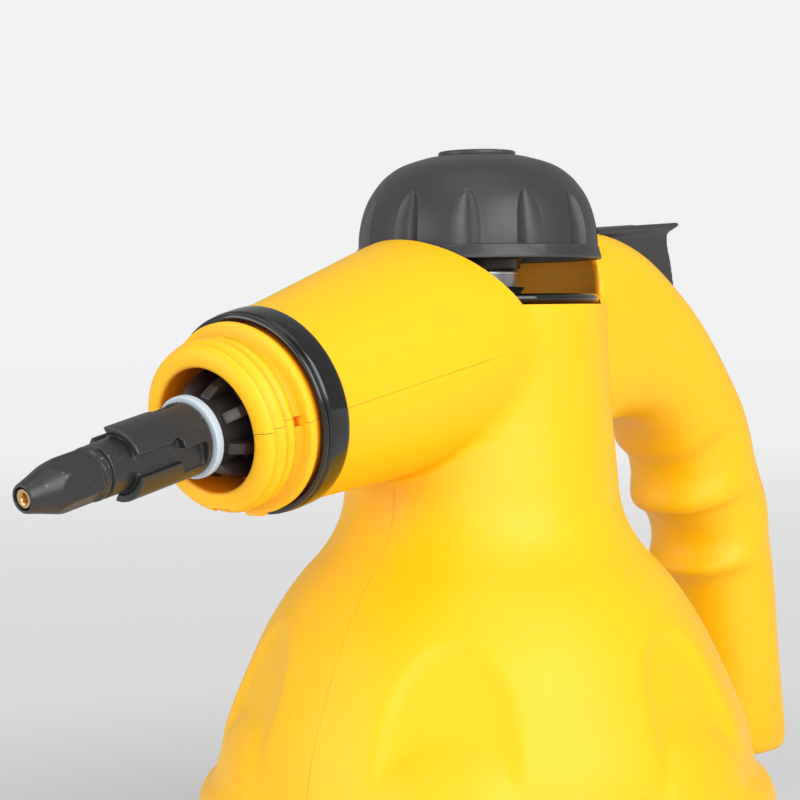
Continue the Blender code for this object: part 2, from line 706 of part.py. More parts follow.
def cavity():
    """What is hollow inside the housing, kept clear of the pocket over the shelf."""
    inset = WALL + PANEL_DEPTH
    flare = body_line()
    outline = [(0, -OVERRUN), (FOOT_RADIUS - inset, -OVERRUN)]
    outline += [(radius - (inset if high < PANEL_TOP else WALL), high) for high, radius in flare[:-1:2]]
    outline += [(NECK_RADIUS - WALL, SHELF_HEIGHT), (0, SHELF_HEIGHT)]
    room = turned("cavity", outline, 24)
    rear = -BARREL_INSET
    spigot_end = BARREL_LENGTH + SPIGOT_LENGTH
    inner_end = BARREL_LENGTH - SPIGOT_LIP_LENGTH
    socket_seat = spigot_end - SPIGOT_SOCKET_DEPTH
    mouth = [(SPIGOT_LIP_BORE, inner_end), (SPIGOT_LIP_BORE, socket_seat)]
    mouth += [(SPIGOT_BORE, socket_seat), (SPIGOT_BORE, spigot_end + OVERRUN)]
    room = combine(room, barrel_solid(WALL, rear, inner_end, mouth, 20), "UNION")
    room = combine(room, grip_solid(WALL, 16, 2, GRIP_END_WALL), "UNION")
    guard = rod(
        "guard",
        POCKET_RADIUS + WALL,
        (0, 0, SHELF_HEIGHT - SHELF_THICKNESS),
        (0, 0, SHELF_HEIGHT + POCKET_DEPTH),
        ROUND,
    )
    room = combine(room, guard, "DIFFERENCE")
    reach = GRIP_HALF_WIDTH * 2
    posts = [(y, z, HOUSING_BOSS_RADIUS) for y, z in screw_places()]
    posts.append((*trigger_pivot(), PIN_BOSS_RADIUS))
    for y, z, radius in posts:
        room = combine(room, rod("post", radius, (-reach, y, z), (reach, y, z)), "DIFFERENCE")
    return room


def trigger_pivot():
    return TRIGGER_PIVOT_OFFSET, SHELF_HEIGHT + TRIGGER_PIVOT_RISE


def screw_places():
    return [(y * GRIP_LENGTH, SHELF_HEIGHT + z * GRIP_DROP) for y, z in HOUSING_SCREW_SHARES]


def housing_form():
    """Both halves as one shell, before the seam parts them."""
    form = bell()
    for lobe in lobes():
        form = combine(form, lobe, "UNION")
    base_cut = block(
        "base_cut",
        (-BELL_RADIUS * 2, -BELL_RADIUS * 2, -SHELF_HEIGHT),
        (BELL_RADIUS * 2, BELL_RADIUS * 2, BASE_THICKNESS + SEAT_GAP),
    )
    form = combine(form, base_cut, "DIFFERENCE")
    spigot = [(SPIGOT_RADIUS, BARREL_LENGTH), (SPIGOT_RADIUS, BARREL_LENGTH + SPIGOT_LENGTH)]
    form = combine(form, barrel_solid(0, -BARREL_INSET, BARREL_LENGTH, spigot, 36), "UNION")
    form = combine(form, grip_solid(0, 24), "UNION")
    pocket = rod(
        "pocket", POCKET_RADIUS, (0, 0, SHELF_HEIGHT), (0, 0, SHELF_HEIGHT + POCKET_DEPTH), FINE
    )
    form = combine(form, pocket, "DIFFERENCE")
    form = combine(form, cavity(), "DIFFERENCE")
    filler_hole = rod(
        "filler_hole",
        FILLER_RADIUS + SEAT_GAP,
        (0, 0, SHELF_HEIGHT - SHELF_THICKNESS - OVERRUN),
        (0, 0, SHELF_HEIGHT + OVERRUN),
        ROUND,
    )
    form = combine(form, filler_hole, "DIFFERENCE")
    return housing_holes(form)


def housing_holes(form):
    """The trigger's opening, and the holes for its pin, the screws and the cord's bush."""
    pivot_y, pivot_z = trigger_pivot()
    side = TRIGGER_HALF_WIDTH + SLOT_SIDE_GAP
    opening = block(
        "opening",
        (-side, TRIGGER_FRONT - SLOT_FRONT_GAP, SHELF_HEIGHT - SLOT_CUT_DEPTH),
        (side, TRIGGER_FRONT + TRIGGER_LENGTH + SLOT_REAR_GAP, SHELF_HEIGHT + SLOT_CUT_HEIGHT),
    )
    form = combine(form, opening, "DIFFERENCE")
    pin_reach = PIN_LENGTH / 2 + SEAT_GAP
    pin_hole = rod(
        "pin_hole",
        TRIGGER_PIN_RADIUS + SEAT_GAP,
        (-pin_reach, pivot_y, pivot_z),
        (pin_reach, pivot_y, pivot_z),
        TINY,
    )
    form = combine(form, pin_hole, "DIFFERENCE")
    for y, z in screw_places():
        far = -BELL_RADIUS
        head = rod("head_hole", SCREW_HEAD_RADIUS + SEAT_GAP, (far, y, z), (-HOUSING_SCREW_INSET, y, z), TINY)
        form = combine(form, head, "DIFFERENCE")
        tip = HOUSING_SCREW_LENGTH - HOUSING_SCREW_INSET + SEAT_GAP
        shank = rod("shank_hole", SCREW_RADIUS + SEAT_GAP, (far, y, z), (tip, y, z), TINY)
        form = combine(form, shank, "DIFFERENCE")
    end = SHELF_HEIGHT - GRIP_DROP
    counterbore = rod(
        "counterbore",
        INLET_FLANGE_RADIUS + SEAT_GAP,
        (0, INLET_OFFSET, end - OVERRUN),
        (0, INLET_OFFSET, end + INLET_FLANGE_THICKNESS + SEAT_GAP),
        20,
    )
    form = combine(form, counterbore, "DIFFERENCE")
    passage = rod(
        "passage",
        INLET_NECK_RADIUS + SEAT_GAP,
        (0, INLET_OFFSET, end - OVERRUN),
        (0, INLET_OFFSET, end + INLET_NECK_LENGTH + OVERRUN),
        20,
    )
    return combine(form, passage, "DIFFERENCE")


def housing_halves(finish):
    form = housing_form()
    far = GRIP_LENGTH * 2
    for name, side in (("housing_right", 1), ("housing_left", -1)):
        half = bpy.data.objects.new(name, form.data.copy())
        bpy.context.scene.collection.objects.link(half)
        low, high = sorted((side * SEAM_GAP / 2, -side * far))
        other_side = block("other_side", (low, -far, -far), (high, far, far * 2))
        finished(combine(half, other_side, "DIFFERENCE", "MANIFOLD"), finish)
    bpy.data.objects.remove(form, do_unlink=True)


def screw(name, place, length, finish, steps=10):
    """A flat-headed screw drawn about Z with its head at the bottom, then placed."""
    outline = [
        (0, 0),
        (SCREW_HEAD_RADIUS, 0),
        (SCREW_HEAD_RADIUS, SCREW_HEAD_HEIGHT),
        (SCREW_RADIUS, SCREW_HEAD_HEIGHT),
        (SCREW_RADIUS, length),
        (0, length),
    ]
    obj = finished(turned(name, outline, steps, finish))
    obj.matrix_world = place
    return obj


def housing_screws(finish):
    for index, (y, z) in enumerate(screw_places(), 1):
        start = -HOUSING_SCREW_INSET - SEAT_GAP - SCREW_HEAD_HEIGHT
        place = Matrix.Translation((start, y, z)) @ Matrix.Rotation(math.pi / 2, 4, "Y")
        screw(f"housing_screw_{index}", place, HOUSING_SCREW_LENGTH, finish)


def pillar_places():
    return [
        (
            PILLAR_PITCH_RADIUS * math.cos(FULL_TURN * (i + 0.25) / PILLAR_COUNT),
            PILLAR_PITCH_RADIUS * math.sin(FULL_TURN * (i + 0.25) / PILLAR_COUNT),
        )
        for i in range(PILLAR_COUNT)
    ]


def pillar_top():
    return BOILER_JOINT - BOILER_FLANGE_THICKNESS - SEAT_GAP


def base_cover(finish):
    """The bottom plate with its locating rim and the pillars that carry the boiler."""
    rim_inner = BASE_SPIGOT_RADIUS - BASE_SPIGOT_WALL
    outline = [
        (0, 0),
        (FOOT_RADIUS, 0),
        (FOOT_RADIUS, BASE_THICKNESS),
        (BASE_SPIGOT_RADIUS, BASE_THICKNESS),
        (BASE_SPIGOT_RADIUS, BASE_SPIGOT_HEIGHT),
        (rim_inner, BASE_SPIGOT_HEIGHT),
        (rim_inner, BASE_THICKNESS),
        (0, BASE_THICKNESS),
    ]
    cover = turned("base_cover", outline, FINE)
    for x, y in pillar_places():
        pillar = rod("pillar", PILLAR_RADIUS, (x, y, BASE_THICKNESS - OVERLAP), (x, y, pillar_top()), TINY)
        cover = combine(cover, pillar, "UNION")
        recess = BASE_SCREW_RECESS + SCREW_HEAD_HEIGHT + SEAT_GAP
        head = rod("head", SCREW_HEAD_RADIUS + SEAT_GAP, (x, y, -OVERRUN), (x, y, recess), TINY)
        cover = combine(cover, head, "DIFFERENCE")
        shank = rod(
            "shank", SCREW_RADIUS + SEAT_GAP, (x, y, -OVERRUN), (x, y, BASE_SCREW_RECESS + BASE_SCREW_LENGTH + SEAT_GAP), 16
        )
        cover = combine(cover, shank, "DIFFERENCE")
        start = pillar_top() + BOILER_FLANGE_THICKNESS - BOILER_SCREW_LENGTH
        pilot = rod("pilot", SCREW_RADIUS + SEAT_GAP, (x, y, start), (x, y, pillar_top() + OVERRUN), TINY)
        cover = combine(cover, pilot, "DIFFERENCE")
    return finished(cover, finish)


def base_screws(finish):
    for index, (x, y) in enumerate(pillar_places(), 1):
        place = Matrix.Translation((x, y, BASE_SCREW_RECESS))
        screw(f"base_screw_{index}", place, BASE_SCREW_LENGTH, finish)


def boiler_halves(finish):
    """The cast cup and the domed lid with its tall neck."""
    flange_low = BOILER_JOINT - BOILER_FLANGE_THICKNESS
    inner = BOILER_RADIUS - BOILER_WALL
    cup = turned(
        "boiler_lower",
        [
            (0, BOILER_BOTTOM),
            (BOILER_RADIUS - BOILER_WALL, BOILER_BOTTOM),
            (BOILER_RADIUS, BOILER_BOTTOM + BOILER_WALL),
            (BOILER_RADIUS, flange_low),
            (BOILER_FLANGE_RADIUS, flange_low),
            (BOILER_FLANGE_RADIUS, BOILER_JOINT),
            (inner, BOILER_JOINT),
            (inner, BOILER_BOTTOM + 2 * BOILER_WALL),
            (inner - BOILER_WALL, BOILER_BOTTOM + BOILER_WALL),
            (0, BOILER_BOTTOM + BOILER_WALL),
        ],
        ROUND,
    )
    base = BOILER_JOINT + BOILER_GASKET_THICKNESS + 2 * SEAT_GAP
    rise = BOILER_DOME_TOP - BOILER_SHOULDER
    steps = 4
    outer_dome, inner_dome = [], []
    for i in range(steps + 1):
        angle = math.pi / 2 * i / steps
        high = BOILER_SHOULDER + rise * math.sin(angle)
        outer_dome.append(
            (BOILER_NECK_RADIUS + (BOILER_RADIUS - BOILER_NECK_RADIUS) * math.cos(angle), high)
        )
        inner_dome.append(
            (BOILER_NECK_BORE + (inner - BOILER_NECK_BORE) * math.cos(angle), high - BOILER_WALL * math.sin(angle))
        )
    outline = [(BOILER_FLANGE_RADIUS, base), (BOILER_FLANGE_RADIUS, base + BOILER_FLANGE_THICKNESS)]
    outline += [(BOILER_RADIUS, base + BOILER_FLANGE_THICKNESS)] + outer_dome
    outline += [(BOILER_NECK_RADIUS, BOILER_NECK_TOP), (BOILER_NECK_BORE, BOILER_NECK_TOP)]
    outline += inner_dome[::-1] + [(inner, base)]
    lid = turned("boiler_upper", outline)
    port_low = BOILER_SHOULDER + rise / 2
    port = rod("port", PORT_RADIUS, (0, STEAM_PORT_OFFSET, port_low + rise / 4), (0, STEAM_PORT_OFFSET, STEAM_PORT_TOP))
    lid = combine(lid, port, "UNION")
    drill = rod("drill", PORT_BORE, (0, STEAM_PORT_OFFSET, port_low), (0, STEAM_PORT_OFFSET, STEAM_PORT_TOP + OVERRUN), 10)
    lid = combine(lid, drill, "DIFFERENCE")
    for x, y in pillar_places():
        for shell in (cup, lid):
            hole = rod("hole", SCREW_RADIUS + SEAT_GAP, (x, y, flange_low - OVERRUN), (x, y, base + 2 * OVERRUN), TINY)
            combine(shell, hole, "DIFFERENCE")
    finished(cup, finish)
    finished(lid, finish)
    return base + BOILER_FLANGE_THICKNESS


def boiler_gasket(finish):
    low = BOILER_JOINT + SEAT_GAP
    high = low + BOILER_GASKET_THICKNESS
    inner = BOILER_RADIUS - BOILER_WALL
    outer = PILLAR_PITCH_RADIUS - SCREW_RADIUS - 2 * SEAT_GAP
    outline = [(outer, low), (outer, high), (inner, high), (inner, low)]
    finished(turned("boiler_gasket", outline, ROUND, finish))


def boiler_screws(top, finish):
    for index, (x, y) in enumerate(pillar_places(), 1):
        start = top + SEAT_GAP + SCREW_HEAD_HEIGHT
        place = Matrix.Translation((x, y, start)) @ Matrix.Rotation(math.pi, 4, "X")
        screw(f"boiler_screw_{index}", place, BOILER_SCREW_LENGTH, finish)


def heating_element(finish):
    """An open ring of tube under the boiler with both ends turned down."""
    height = BOILER_BOTTOM - SEAT_GAP - HEATER_TUBE_RADIUS
    arc = FULL_TURN - 2 * HEATER_OPENING
    steps = 22
    points = []
    for i in range(steps + 1):
        angle = math.pi / 2 + HEATER_OPENING + arc * i / steps
        points.append((HEATER_RADIUS * math.cos(angle), HEATER_RADIUS * math.sin(angle), height))
    first, last = points[0], points[-1]
    points = [(first[0], first[1], height - HEATER_LEG)] + points + [(last[0], last[1], height - HEATER_LEG)]
    tube("heating_element", points, HEATER_TUBE_RADIUS, finish)


def thermostat(finish):
    top = BOILER_BOTTOM - SEAT_GAP
    disc = rod("thermostat", THERMOSTAT_RADIUS, (0, 0, top - THERMOSTAT_HEIGHT), (0, 0, top), 24)
    half = Vector((THERMOSTAT_TAB_LENGTH, THERMOSTAT_TAB_WIDTH, THERMOSTAT_TAB_THICKNESS)) / 2
    low = top - THERMOSTAT_HEIGHT
    tab = block("tab", (-half.x, -half.y, low - half.z), (half.x, half.y, low + half.z))
    finished(combine(disc, tab, "UNION"), finish)


def thermal_fuse(finish):
    height = BOILER_BOTTOM - SEAT_GAP - FUSE_RADIUS
    half = FUSE_LENGTH / 2
    fuse = rod("thermal_fuse", FUSE_RADIUS, (-half, -FUSE_OFFSET, height), (half, -FUSE_OFFSET, height), TINY)
    finished(fuse, finish)


def terminal_block(finish):
    length, depth, height = TERMINAL_LENGTH, TERMINAL_WIDTH, TERMINAL_HEIGHT
    low = BASE_THICKNESS + SEAT_GAP
    body = block(
        "terminal_block",
        (-length / 2, TERMINAL_OFFSET - depth / 2, low),
        (length / 2, TERMINAL_OFFSET + depth / 2, low + height),
    )
    for i in range(TERMINAL_COUNT):
        x = length * ((i + 0.5) / TERMINAL_COUNT - 0.5)
        well = rod(
            "well",
            TERMINAL_SCREW_RADIUS,
            (x, TERMINAL_OFFSET, low + height / 2),
            (x, TERMINAL_OFFSET, low + height + OVERRUN),
            12,
        )
        body = combine(body, well, "DIFFERENCE")
    finished(body, finish)


def filler_neck(finish):
    """The plated neck that screws into the boiler, with a flange under the shelf."""
    flange_top = SHELF_HEIGHT - SHELF_THICKNESS - SEAT_GAP
    flange_low = flange_top - FILLER_FLANGE_THICKNESS
    outline = [
        (FILLER_RADIUS, FILLER_BOTTOM),
        (FILLER_RADIUS, flange_low),
        (FILLER_FLANGE_RADIUS, flange_low),
        (FILLER_FLANGE_RADIUS, flange_top),
        (FILLER_RADIUS, flange_top),
        (FILLER_RADIUS, FILLER_TOP),
        (FILLER_BORE, FILLER_TOP),
        (FILLER_BORE, FILLER_BOTTOM),
    ]
    finished(turned("filler_neck", outline, ROUND, finish))


def shelf_plate(finish):
    """The dished plate with a rounded rim that lies on the shelf."""
    low = SHELF_HEIGHT + SEAT_GAP
    top = SHELF_HEIGHT + PLATE_HEIGHT
    dish = top - PLATE_DISH
    bore = FILLER_RADIUS + SEAT_GAP
    rim = PLATE_RIM / 2
    outline = [(bore, low), (PLATE_RADIUS - rim / 2, low)]
    steps = 4
    for i in range(steps + 1):
        angle = math.pi * i / steps
        outline.append(
            (PLATE_RADIUS - rim + rim * math.cos(angle), dish + PLATE_DISH * math.sin(angle))
        )
    outline += [(PLATE_RADIUS - 2 * PLATE_RIM, dish - PLATE_DISH / 2), (bore, dish)]
    finished(turned("shelf_plate", outline, FINE, finish))


def neck_gasket(finish):
    low = SHELF_HEIGHT + PLATE_HEIGHT - PLATE_DISH + SEAT_GAP
    high = low + GASKET_HEIGHT
    bore = FILLER_RADIUS + SEAT_GAP
    waist = (GASKET_RADIUS + bore) / 2
    outline = [
        (bore, low),
        (GASKET_RADIUS + PLATE_DISH, low),
        (waist, low + GASKET_HEIGHT / 2),
        (GASKET_RADIUS, high - PLATE_DISH / 2),
        (GASKET_RADIUS, high),
        (bore, high),
    ]
    finished(turned("neck_gasket", outline, ROUND, finish))


def dome_height():
    return CAP_TOP - CAP_BOTTOM - CAP_LIP_HEIGHT


def cap_rows():
    """(radius, height) up the outside of the cap, down its hub and back along its inside."""
    lip_top = CAP_BOTTOM + CAP_LIP_HEIGHT
    lip_edge = CAP_LIP_HEIGHT / 5
    disc_bore = DISC_RADIUS + SEAT_GAP
    disc_seat = CAP_TOP + DISC_PROUD - DISC_THICKNESS - SEAT_GAP
    dome = [(share * CAP_RADIUS, lip_top + high * dome_height()) for high, share in DOME_SHARES]
    rows = [(CAP_LIP_RADIUS - lip_edge, CAP_BOTTOM), (CAP_LIP_RADIUS, CAP_BOTTOM + lip_edge)]
    rows += [(CAP_LIP_RADIUS, lip_top - lip_edge)] + [point for point in dome if point[0] > disc_bore]
    rows += [(disc_bore, CAP_TOP - lip_edge), (disc_bore, disc_seat)]
    rows += [(WELL_RADIUS, disc_seat), (WELL_RADIUS, WELL_FLOOR)]
    hole = RETAINER_RADIUS + RUNNING_GAP
    hub = WELL_RADIUS + HUB_WALL
    hub_low = WELL_FLOOR - WELL_FLOOR_THICKNESS
    rows += [(hole, WELL_FLOOR), (hole, hub_low), (hub, hub_low)]
    inner = []
    for radius, high in dome[::2]:
        share = (high - lip_top) / dome_height()
        if radius - CAP_WALL > hub + CAP_WALL:
            inner.append((radius - CAP_WALL, high - CAP_WALL * share))
    rows += [(hub, CAP_TOP - 2 * CAP_WALL)] + inner[::-1] + [(CAP_RADIUS - CAP_WALL, CAP_BOTTOM)]
    return rows


def cap_shell(finish):
    """The domed cap with its hub; the finger scallops are arches pressed into its side."""
    rows = cap_rows()
    rows.append(rows[0])
    lip_top = CAP_BOTTOM + CAP_LIP_HEIGHT
    pitch = FULL_TURN / SCALLOP_COUNT
    outside = [row for row, point in enumerate(rows) if point[0] > DISC_RADIUS + CAP_WALL]
    turn_back = rows.index(max(rows, key=lambda point: point[1]))

    def place(column, row):
        radius, height = rows[row]
        scallop, step = divmod(column, 5)
        rise = (height - lip_top) / SCALLOP_HEIGHT
        pressed = row in outside and row <= turn_back and 0 <= rise < 1
        half = SCALLOP_HALF_ANGLE * (math.sqrt(1 - rise) if pressed else 1)
        floor = half * SCALLOP_FLOOR_SHARE
        angle = (-half, -floor, floor, half, pitch / 2)[step]
        if pressed and step in (1, 2):
            radius -= SCALLOP_DEPTH * (1 - rise) ** 0.5
        heading = SCALLOP_PHASE + pitch * scallop + angle
        return Vector((radius * math.sin(heading), -radius * math.cos(heading), height))

    finished(skin("cap_shell", place, SCALLOP_COUNT * 5, len(rows) - 1), finish, math.radians(22))


def cap_disc(finish):
    low = CAP_TOP + DISC_PROUD - DISC_THICKNESS
    high = low + DISC_THICKNESS
    outline = [
        (0, low),
        (DISC_RADIUS, low),
        (DISC_RADIUS, high - DISC_ROUND),
        (DISC_RADIUS - DISC_ROUND, high),
        (0, high),
    ]
    finished(turned("cap_disc", outline, ROUND, finish))


def cap_retainer(finish):
    """The shouldered screw that holds the cap's shell to the plug and lets it slide."""
    head_low = WELL_FLOOR + SEAT_GAP
    outline = [
        (0, RETAINER_BOTTOM),
        (RETAINER_RADIUS, RETAINER_BOTTOM),
        (RETAINER_RADIUS, head_low),
        (RETAINER_HEAD_RADIUS, head_low),
        (RETAINER_HEAD_RADIUS, head_low + RETAINER_HEAD_HEIGHT),
        (0, head_low + RETAINER_HEAD_HEIGHT),
    ]
    finished(turned("cap_retainer", outline, TINY, finish))


def plug_flange_low():
    return FILLER_TOP + SEAL_THICKNESS + 2 * SEAT_GAP


def cap_plug(finish):
    """The plug that closes the filler neck, bored for the relief valve and the retainer."""
    flange_low = plug_flange_low()
    flange_top = flange_low + PLUG_FLANGE_THICKNESS
    bore_low = PLUG_BOTTOM + RELIEF_SEAT_THICKNESS
    bore_top = bore_low + RELIEF_ROOM
    thread_hole = RETAINER_RADIUS + SEAT_GAP
    outline = [
        (RELIEF_SEAT_RADIUS, PLUG_BOTTOM),
        (PLUG_STEM_RADIUS, PLUG_BOTTOM),
        (PLUG_STEM_RADIUS, flange_low),
        (PLUG_FLANGE_RADIUS, flange_low),
        (PLUG_FLANGE_RADIUS, flange_top),
        (PLUG_BOSS_RADIUS, flange_top),
        (PLUG_BOSS_RADIUS, PLUG_BOSS_TOP),
        (thread_hole, PLUG_BOSS_TOP),
        (thread_hole, RETAINER_BOTTOM - SEAT_GAP),
        (PORT_BORE, RETAINER_BOTTOM - SEAT_GAP),
        (PORT_BORE, bore_top),
        (RELIEF_BORE, bore_top),
        (RELIEF_BORE, bore_low),
        (RELIEF_SEAT_RADIUS, bore_low),
    ]
    finished(turned("cap_plug", outline, 22, finish))
    return bore_low, bore_top


def cap_seal(finish):
    low = FILLER_TOP + SEAT_GAP
    high = low + SEAL_THICKNESS
    outline = [(FILLER_RADIUS, low), (FILLER_RADIUS, high), (SEAL_INNER_RADIUS, high), (SEAL_INNER_RADIUS, low)]
    finished(turned("cap_seal", outline, ROUND, finish))


def relief_valve(bore_low, bore_top, metal, steel):
    low = bore_low + SEAT_GAP
    high = low + POPPET_THICKNESS
    outline = [
        (0, low),
        (POPPET_RADIUS, low),
        (POPPET_RADIUS, high),
        (POPPET_STEM_RADIUS, high),
        (POPPET_STEM_RADIUS, high + POPPET_STEM_LENGTH),
        (0, high + POPPET_STEM_LENGTH),
    ]
    finished(turned("relief_poppet", outline, TINY, metal))
    radius = (RELIEF_BORE + POPPET_STEM_RADIUS) / 2
    coil("relief_spring", (0, 0), radius, RELIEF_WIRE, high + SEAT_GAP, bore_top - SEAT_GAP, RELIEF_TURNS, steel)


def cap_spring(finish):
    low = plug_flange_low() + PLUG_FLANGE_THICKNESS + SEAT_GAP
    high = CAP_TOP - 2 * CAP_WALL - 2 * SEAT_GAP
    coil("cap_spring", (0, 0), CAP_SPRING_RADIUS, CAP_SPRING_WIRE, low, high, CAP_SPRING_TURNS, finish)


def collar_start():
    return BARREL_LENGTH + SPIGOT_LENGTH + SEAT_GAP


def collar_front():
    return collar_start() + COLLAR_LENGTH


def collar_outline(shift):
    """(radius, place on the axis) round a collar half, its thread ridges moved by a shift."""
    rear = collar_start()
    flange = BARREL_LENGTH + 2 * SEAT_GAP + BAND_LENGTH
    flange_front = flange + COLLAR_FLANGE_THICKNESS
    outline = [(SPIGOT_RADIUS, rear), (SPIGOT_RADIUS, flange), (COLLAR_FLANGE_RADIUS, flange)]
    outline += [(COLLAR_FLANGE_RADIUS, flange_front), (COLLAR_CORE_RADIUS, flange_front)]
    steps = 4
    for ridge in range(COLLAR_RIDGE_COUNT):
        start = flange_front + OVERLAP / 2 + shift + ridge * COLLAR_RIDGE_PITCH
        for i in range(steps + 1):
            angle = math.pi * i / steps
            along = start + COLLAR_RIDGE_WIDTH / 2 * (1 - math.cos(angle))
            outline.append((COLLAR_CORE_RADIUS + COLLAR_RIDGE * math.sin(angle), along))
    front = collar_front()
    outline += [
        (COLLAR_NOSE_RADIUS, front - OVERLAP / 2),
        (COLLAR_NOSE_RADIUS - OVERLAP / 2, front),
        (COLLAR_BORE, front),
        (COLLAR_BORE, rear),
    ]
    return outline


def collar_halves(finish):
    """Two half rings that the band clamps on the barrel; their ridges meet with a step."""
    far = COLLAR_FLANGE_RADIUS * 2
    for name, side, shift in (("collar_upper", 1, 0), ("collar_lower", -1, COLLAR_STEP)):
        half = turned(name, collar_outline(shift), FINE)
        low, high = sorted((side * SEAM_GAP / 2, side * far))
        keep = block("keep", (-far, low, 0), (far, high, BARREL_LENGTH * 2))
        half = combine(half, keep, "INTERSECT")
        if side < 0:
            width, height, depth = COLLAR_NOTCH_WIDTH, COLLAR_NOTCH_HEIGHT, COLLAR_NOTCH_DEPTH
            notch = block(
                "notch",
                (-width / 2, -COLLAR_FLANGE_RADIUS - OVERRUN, collar_front() - depth),
                (width / 2, -COLLAR_FLANGE_RADIUS + height, collar_front() + OVERRUN),
            )
            half = combine(half, notch, "DIFFERENCE")
        on_barrel(finished(half, finish))


def barrel_band(finish):
    start = BARREL_LENGTH + SEAT_GAP
    end = start + BAND_LENGTH
    body = BAND_RADIUS - BAND_GROOVE
    outline = [
        (BAND_BORE, start),
        (BAND_RADIUS - BAND_GROOVE, start),
        (BAND_RADIUS, start + BAND_GROOVE),
        (BAND_RADIUS, end - 2 * BAND_LIP),
        (body, end - 2 * BAND_LIP + BAND_GROOVE),
        (body, end - BAND_LIP),
        (BAND_RADIUS, end - BAND_LIP + BAND_GROOVE),
        (BAND_RADIUS, end - BAND_GROOVE / 2),
        (body, end),
        (BAND_BORE, end),
    ]
    on_barrel(finished(turned("barrel_band", outline, FINE, finish)))


def nozzle_socket(finish):
    """The splined socket that carries the nozzle, its flange held in the barrel's mouth."""
    start = BARREL_LENGTH + SPIGOT_LENGTH - SPIGOT_SOCKET_DEPTH + SEAT_GAP
    flange_end = start + SOCKET_FLANGE_THICKNESS
    outline = [
        (SOCKET_BORE, start),
        (SOCKET_FLANGE_RADIUS, start),
        (SOCKET_FLANGE_RADIUS, flange_end),
        (SOCKET_CORE_RADIUS, flange_end),
        (SOCKET_CORE_RADIUS, SOCKET_FRONT),
        (SOCKET_BORE, SOCKET_FRONT),
    ]
    socket = turned("socket", outline, 24)
    for i in range(SOCKET_RIB_COUNT):
        rib = block(
            "rib",
            (-SOCKET_RIB_WIDTH / 2, SOCKET_CORE_RADIUS - OVERLAP, flange_end - OVERLAP),
            (SOCKET_RIB_WIDTH / 2, SOCKET_RIB_RADIUS, SOCKET_FRONT - OVERLAP),
        )
        moved(rib, Matrix.Rotation(FULL_TURN * (i + 0.5) / SOCKET_RIB_COUNT, 4, "Z"))
        socket = combine(socket, rib, "UNION")
    socket.name = "nozzle_socket"
    on_barrel(finished(socket, finish))


def nozzle_body(finish):
    """Stub, O-ring groove, bayonet sleeve, waist, hexagon and cone on one axis."""
    ring_end = NOZZLE_RING_START + NOZZLE_RING_LENGTH
    jet_floor = NOZZLE_TIP - JET_LENGTH - SEAT_GAP
    outline = [
        (0, NOZZLE_REAR),
        (NOZZLE_STUB_RADIUS, NOZZLE_REAR),
        (NOZZLE_STUB_RADIUS, SOCKET_FRONT + SEAT_GAP),
        (NOZZLE_SHOULDER_RADIUS, SOCKET_FRONT + SEAT_GAP),
        (NOZZLE_SHOULDER_RADIUS, NOZZLE_RING_START),
        (NOZZLE_GROOVE_RADIUS, NOZZLE_RING_START),
        (NOZZLE_GROOVE_RADIUS, ring_end),
        (NOZZLE_SLEEVE_RADIUS - NOZZLE_EDGE, ring_end),
        (NOZZLE_SLEEVE_RADIUS, ring_end + NOZZLE_EDGE),
        (NOZZLE_SLEEVE_RADIUS, NOZZLE_SLEEVE_END - NOZZLE_EDGE),
        (NOZZLE_SLEEVE_RADIUS - NOZZLE_EDGE, NOZZLE_SLEEVE_END),
        (NOZZLE_WAIST_RADIUS, NOZZLE_SLEEVE_END),
        (NOZZLE_WAIST_RADIUS, NOZZLE_WAIST_END + OVERLAP),
        (0, NOZZLE_WAIST_END + OVERLAP),
    ]
    body = turned("rear", outline, 24)
    cone_share = (NOZZLE_WAIST_END + NOZZLE_HEX_END) / 2
    nose = [
        (0, NOZZLE_WAIST_END),
        (NOZZLE_WAIST_RADIUS + NOZZLE_EDGE, NOZZLE_WAIST_END),
        (NOZZLE_HEX_RADIUS, NOZZLE_WAIST_END + 3 * NOZZLE_EDGE),
        (NOZZLE_HEX_RADIUS, cone_share),
        (NOZZLE_TIP_RADIUS, NOZZLE_TIP - NOZZLE_EDGE),
        (NOZZLE_TIP_RADIUS - NOZZLE_EDGE, NOZZLE_TIP),
        (0, NOZZLE_TIP),
    ]
    nose = turned("nose", nose, 24)
    flats = rod(
        "flats",
        NOZZLE_HEX_FLAT / math.cos(math.pi / NOZZLE_SIDES),
        (0, 0, NOZZLE_WAIST_END - OVERRUN),
        (0, 0, NOZZLE_TIP + OVERRUN),
        NOZZLE_SIDES,
    )
    nose = combine(nose, flats, "INTERSECT")
    body = combine(body, nose, "UNION")
    bore = [
        (0, NOZZLE_REAR - OVERRUN),
        (NOZZLE_BORE, NOZZLE_REAR - OVERRUN),
        (NOZZLE_BORE, jet_floor),
        (JET_RADIUS + SEAT_GAP, jet_floor),
        (JET_RADIUS + SEAT_GAP, NOZZLE_TIP + OVERRUN),
        (0, NOZZLE_TIP + OVERRUN),
    ]
    body = combine(body, turned("bore", bore, TINY), "DIFFERENCE")
    for turn in (math.radians(40), math.radians(220)):
        body = combine(body, moved(bayonet_slot(), Matrix.Rotation(turn, 4, "Z")), "DIFFERENCE")
    body.name = "nozzle_body"
    on_barrel(finished(body, finish))


